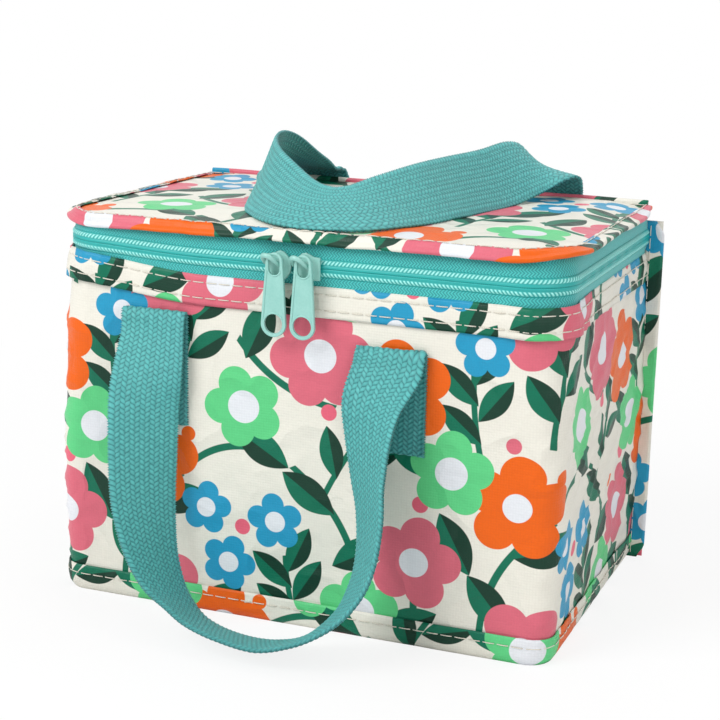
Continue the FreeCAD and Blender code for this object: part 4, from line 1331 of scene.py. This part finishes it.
REAR = HALF_DEEP / MM
RIGHT_REAR = 60.5
LEFT_REAR = -40.0
TOP = LID_TOP / MM
rear_stations = [
    ((RIGHT_REAR, REAR + 2.2, PATCH_LOW), (1, 0, 0)),
    ((RIGHT_REAR, REAR + 2.2, PATCH_LOW + 20), (1, 0, 0)),
    ((RIGHT_REAR, REAR + 2.4, FOLD), (1, 0, 0)),
    ((RIGHT_REAR, REAR + 3.0, TOP - 16), (1, 0, 0)),
    ((RIGHT_REAR, REAR + 4.2, TOP), (1, 0, 0)),
    ((RIGHT_REAR + 0.3, REAR + 2.4, TOP + 5.5), (1, 0, 0)),
    ((RIGHT_REAR + 0.5, REAR - 1.0, TOP + 10.5), (1, 0, -0.1)),
    ((RIGHT_REAR - 0.5, REAR - 8.0, TOP + 15.0), (0.93, 0, -0.36)),
    ((RIGHT_REAR - 6.0, REAR - 19.0, TOP + 16.0), (0.75, 0, -0.66)),
    ((RIGHT_REAR - 13.0, REAR - 40.0, TOP + 13.0), (0.62, -0.1, -0.77)),
    ((RIGHT_REAR - 19.5, REAR - 64.0, TOP + 12.3), (0.64, -0.1, -0.76)),
    ((RIGHT_REAR - 24.5, REAR - 88.0, TOP + 12.0), (0.68, -0.18, -0.7)),
    ((RIGHT_REAR - 31.5, REAR - 106.0, TOP + 10.5), (0.72, -0.3, -0.62)),
    ((RIGHT_REAR - 39.5, REAR - 120.0, TOP + 9.0), (0.7, -0.5, -0.5)),
    ((RIGHT_REAR - 49.0, REAR - 125.8, TOP + 8.2), (0.42, -0.78, -0.46)),
    ((RIGHT_REAR - 60.0, REAR - 127.0, TOP + 8.0), (0.08, -0.88, -0.45)),
    ((LEFT_REAR + 28.5, REAR - 121.5, TOP + 8.6), (-0.22, -0.84, -0.48)),
    ((LEFT_REAR + 17.0, REAR - 110.0, TOP + 10.0), (-0.4, -0.7, -0.6)),
    ((LEFT_REAR + 3.5, REAR - 92.0, TOP + 12.5), (-0.38, -0.38, -0.84)),
    ((LEFT_REAR - 7.0, REAR - 68.0, TOP + 14.4), (-0.3, -0.2, -0.93)),
    ((LEFT_REAR - 13.0, REAR - 46.0, TOP + 15.0), (-0.45, 0, -0.9)),
    ((LEFT_REAR - 15.0, REAR - 27.0, TOP + 12.5), (-0.85, 0, -0.45)),
    ((LEFT_REAR - 14.0, REAR - 13.0, TOP + 9.3), (-0.97, 0, -0.2)),
    ((LEFT_REAR - 13.5, REAR - 4.5, TOP + 7.4), (-1, 0, 0)),
    ((LEFT_REAR - 12.5, REAR + 2.0, TOP + 5.4), (-1, 0, 0)),
    ((LEFT_REAR - 11.0, REAR + 4.2, TOP), (-1, 0, 0)),
    ((LEFT_REAR - 6.0, REAR + 3.0, TOP - 16), (-1, 0, 0)),
    ((LEFT_REAR, REAR + 2.4, FOLD), (-1, 0, 0)),
    ((LEFT_REAR, REAR + 2.2, PATCH_LOW + 20), (-1, 0, 0)),
    ((LEFT_REAR, REAR + 2.2, PATCH_LOW), (-1, 0, 0)),
]
rear_line = Band(rear_stations)
right_top = rear_line.runs[5 * rear_line.steps]
left_top = rear_line.runs[(len(rear_stations) - 6) * rear_line.steps]
right_end = lay_webbing("rear_handle_right_end", rear_line, 0.0, right_top)
left_end = lay_webbing("rear_handle_left_end", rear_line, left_top, rear_line.length)
rear_loop = lay_webbing("rear_handle_loop", rear_line, right_top, left_top)
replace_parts(right_end, "rear_strap_ends")
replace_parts(rear_loop, "rear_strap")
for piece in (right_end, left_end):
    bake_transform(piece)
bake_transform(rear_loop)

# ---- Zip sliders ------------------------------------------------------------------------
# Two cast sliders meet near the middle of the front. Each has a shield-shaped plate
# with a rounded bridge across it, and a thinner plate behind the chain, all enamelled.

MINT_DARK = (0.20, 0.50, 0.44, 1)
MINT_LIGHT = (0.36, 0.66, 0.60, 1)
# Upper half of the plate's outline, from its straight end to its point.
SHIELD_HALF = [(-5.3, 4.4), (-2.6, 4.6), (-0.9, 5.4), (0.6, 6.0),
               (2.2, 5.6), (3.8, 4.2), (5.0, 2.2), (5.5, 0.0)]
WELD = 0.005 * MM


def enamel_material():
    material, tree, shader = new_material("mint_enamel", Roughness=0.34, Coat_Weight=0.25, Coat_Roughness=0.2)
    place = object_place(tree)
    speckle = noise_node(tree, place, 1400.0, 4.0)
    cloudy = noise_node(tree, place, 160.0, 2.0)
    mixed = math_node(tree, "MULTIPLY_ADD", cloudy, 0.5, math_node(tree, "MULTIPLY", speckle, 0.5))
    tree.links.new(mix_colours(tree, mixed, MINT_DARK, MINT_LIGHT), shader.inputs["Base Color"])
    bump_node(tree, shader, speckle, 0.05 * MM, 0.35)
    return material


mint_enamel = enamel_material()


def arc_points(centre, radius, start, stop, count):
    """Points on an arc, angles in degrees."""
    angles = [math.radians(start + (stop - start) * index / count) for index in range(count + 1)]
    return [(centre[0] + radius * math.cos(angle), centre[1] + radius * math.sin(angle)) for angle in angles]


def curve_to_solid(curve, placing):
    """A bmesh of a curve's body, moved by placing, with its seams closed."""
    holder = bpy.data.objects.new(curve.name, curve)
    bpy.context.collection.objects.link(holder)
    bpy.context.view_layer.update()
    mesh = bpy.data.meshes.new_from_object(holder)
    bpy.data.objects.remove(holder)
    mesh.transform(placing)
    solid = bmesh.new()
    solid.from_mesh(mesh)
    bpy.data.meshes.remove(mesh)
    bmesh.ops.remove_doubles(solid, verts=solid.verts, dist=WELD)
    bmesh.ops.recalc_face_normals(solid, faces=solid.faces)
    return solid


def cast_plate(name, outlines, thick, rounding, y_face, at):
    """A flat casting in the plane of the front: the first outline less the others."""
    curve = bpy.data.curves.new(name, "CURVE")
    curve.dimensions = "2D"
    curve.fill_mode = "BOTH"
    curve.extrude = (thick / 2 - rounding) * MM
    curve.bevel_depth = rounding * MM
    curve.bevel_resolution = 3
    curve.offset = -rounding * MM
    for outline in outlines:
        spline = curve.splines.new("POLY")
        spline.points.add(len(outline) - 1)
        for point, (x, z) in zip(spline.points, outline):
            point.co = (x * MM, z * MM, 0, 1)
        spline.use_cyclic_u = True
    upright = Matrix.Rotation(math.pi / 2, 4, "X")
    return curve_to_solid(curve, Matrix.Translation((at.x, y_face - thick * MM / 2, at.z)) @ upright)


def cast_piece(name, solid, body):
    """An enamelled casting: round where it is smooth, crisp where it turns sharply."""
    piece = make_piece(name, solid, mint_enamel, body)
    piece.data.set_sharp_from_angle(angle=math.radians(40))
    return piece


def round_bar(name, points, radii):
    """A round bar through points with its own radius at each, in millimetres."""
    curve = bpy.data.curves.new(name, "CURVE")
    curve.dimensions = "3D"
    curve.bevel_depth = MM
    curve.bevel_resolution = 5
    curve.use_fill_caps = True
    spline = curve.splines.new("NURBS")
    spline.points.add(len(points) - 1)
    for knot, place, radius in zip(spline.points, points, radii):
        knot.co = (*place, 1)
        knot.radius = radius
    spline.order_u = 3
    spline.use_endpoint_u = True
    spline.resolution_u = 8
    return curve_to_solid(curve, Matrix.Identity(4))


joints = {joint["name"]: joint for joint in frame["record"]["behaviour"]["joints"]}
for word, flip in (("left", 1), ("right", -1)):
    body = word + "_slider"
    low, high = (Vector(corner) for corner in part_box(body))
    x = (low.x + high.x) / 2
    z = (low.z + high.z) / 2
    lower_half = [(along, -rise) for along, rise in reversed(SHIELD_HALF[:-1])]
    shield = [(flip * along, rise) for along, rise in SHIELD_HALF + lower_half]
    middle = Vector((x, 0, z))
    front_out = -HALF_DEEP - 2.35 * MM
    plate = cast_plate(body, [shield], 1.3, 0.35, front_out, middle)
    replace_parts(cast_piece(word + "_slider_plate", plate, body), body)
    inner = cast_plate(body + "_inner", [shield], 1.2, 0.35, -HALF_DEEP + 2.0 * MM, middle)
    cast_piece(word + "_slider_inner_plate", inner, body)
    swing = Vector(joints[word + "_pull_swing"]["pos_m"])
    face = front_out - 1.2 * MM
    bar = [Vector((x - 5.3 * MM, face + 0.6 * MM, z + 1.2 * MM)),
           Vector((x - 5.2 * MM, swing.y - 0.4 * MM, swing.z + 1.6 * MM)),
           Vector((x - 2.6 * MM, swing.y - 1.9 * MM, swing.z + 2.1 * MM)),
           Vector((x - 0.6 * MM, swing.y - 1.5 * MM, swing.z + 1.0 * MM)),
           Vector((x + 0.8 * MM, swing.y + 0.4 * MM, swing.z - 0.9 * MM)),
           Vector((x + 1.3 * MM, swing.y + 2.0 * MM, swing.z - 2.1 * MM)),
           Vector((x + 1.3 * MM, face + 0.6 * MM, swing.z - 2.3 * MM))]
    bridge = round_bar(word + "_bridge", bar, (1.4, 1.2, 1.0, 0.9, 0.8, 0.8, 0.9))
    make_piece(word + "_bridge", bridge, mint_enamel, body)

# ---- Zip pulls ----------------------------------------------------------------------------
# Flat cast tabs that widen downwards, with a raised rim, an eye on the bridge and a
# round hole at the bottom. Both openings have a raised edge. Sizes are in millimetres.

PULL_TOP = 3.2
PULL_LONG = 33.0
NECK = 3.5
FOOT = 5.25
EYE_HIGH = -0.2
EYE_LOW = -3.2


def pull_outline(inset):
    """The tab's outline: a round top, straight sides and a round foot."""
    top = arc_points((0, PULL_TOP - NECK), NECK - inset, 8, 172, 12)
    foot = arc_points((0, PULL_TOP - PULL_LONG + FOOT), FOOT - inset, 184, 356, 18)
    return top + foot


def eye_outline(radius):
    """A long hole for the bridge, with round ends."""
    return arc_points((0, EYE_HIGH), radius, 0, 180, 10) + arc_points((0, EYE_LOW), radius, 180, 360, 10)


def hole_outline(radius):
    return arc_points((0, PULL_TOP - PULL_LONG + FOOT), radius, 0, 345, 23)


eye = eye_outline(2.35)
hole = hole_outline(3.8)
# The raised edges: outer and inner outline, thickness, rounding.
raised = {"rim": (pull_outline(0.0), pull_outline(1.0), 1.6, 0.3),
          "ring": (hole_outline(4.5), hole, 1.5, 0.25),
          "collar": (eye_outline(3.0), eye, 1.5, 0.25)}
for word in ("left", "right"):
    body = word + "_pull"
    swing = Vector(joints[word + "_pull_swing"]["pos_m"])
    tab = cast_plate(body, [pull_outline(0.5), eye, hole], 1.0, 0.2, swing.y + 0.5 * MM, swing)
    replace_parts(cast_piece(word + "_pull_tab", tab, body), body)
    for edge, (outer, inner, thick, rounding) in raised.items():
        solid = cast_plate("%s_%s" % (body, edge), [outer, inner], thick, rounding,
                           swing.y + thick / 2 * MM, swing)
        cast_piece("%s_pull_%s" % (word, edge), solid, body)

# ---- Floor, light and background -----------------------------------------------------------
# A plain white floor and soft studio light. The camera sees the floor almost white, whiter
# further away, and the bag's shadow stays on it.

WHITE = (1, 1, 1, 1)
NEAR_WHITE = 0.84
SHADOW_REACH = 0.16


def mix_by_rays(tree, share, lit, seen, output):
    """The given share of the rays sees the plain shader and the rest see the lit one."""
    mix = tree.nodes.new("ShaderNodeMixShader")
    tree.links.new(share, mix.inputs[0])
    tree.links.new(lit.outputs[0], mix.inputs[1])
    tree.links.new(seen.outputs[0], mix.inputs[2])
    tree.links.new(mix.outputs[0], tree.nodes[output].inputs["Surface"])


def floor_material():
    material, tree, shader = new_material("floor", Base_Color=(0.9, 0.9, 0.9, 1), Roughness=0.9)
    glow = tree.nodes.new("ShaderNodeEmission")
    glow.inputs["Color"].default_value = WHITE
    away = vector_node(tree, "LENGTH", object_place(tree))
    whiten = math_node(tree, "MULTIPLY", math_node(tree, "SUBTRACT", away, SHADOW_REACH), 0.5, clamp=True)
    white = math_node(tree, "MINIMUM", math_node(tree, "ADD", whiten, NEAR_WHITE), 1.0)
    path = tree.nodes.new("ShaderNodeLightPath")
    share = math_node(tree, "MULTIPLY", path.outputs["Is Camera Ray"], white)
    mix_by_rays(tree, share, shader, glow, "Material Output")
    return material


ground = bmesh.new()
bmesh.ops.create_grid(ground, x_segments=1, y_segments=1, size=40.0)
floor = make_piece("floor", ground, floor_material())

world = bpy.data.worlds.new("studio")
bpy.context.scene.world = world
world.use_nodes = True
sky = world.node_tree
background = sky.nodes["Background"]
background.inputs["Color"].default_value = WHITE
background.inputs["Strength"].default_value = 0.46
seen = sky.nodes.new("ShaderNodeBackground")
seen.inputs["Color"].default_value = WHITE
seen.inputs["Strength"].default_value = 1.0
path = sky.nodes.new("ShaderNodeLightPath")
rays = math_node(sky, "ADD", path.outputs["Is Camera Ray"], path.outputs["Is Glossy Ray"])
rays = math_node(sky, "ADD", rays, path.outputs["Is Transmission Ray"], clamp=True)
mix_by_rays(sky, rays, background, seen, "World Output")


def studio_lamp(name, place, size, power):
    data = bpy.data.lights.new(name, "AREA")
    data.size = size
    data.energy = power
    lamp = bpy.data.objects.new(name, data)
    lamp.location = place
    lamp.rotation_euler = (Vector(place) - Vector((0, 0, 0.08))).to_track_quat("Z", "Y").to_euler()
    bpy.context.collection.objects.link(lamp)


studio_lamp("key_lamp", (-0.9, -1.3, 1.4), 1.1, 26.5)
studio_lamp("fill_lamp", (1.5, -0.9, 0.9), 1.2, 8.0)
studio_lamp("top_lamp", (0.2, 0.5, 1.8), 1.3, 9.0)

bpy.context.scene.view_settings.view_transform = "Standard"

bpy.context.view_layer.update()
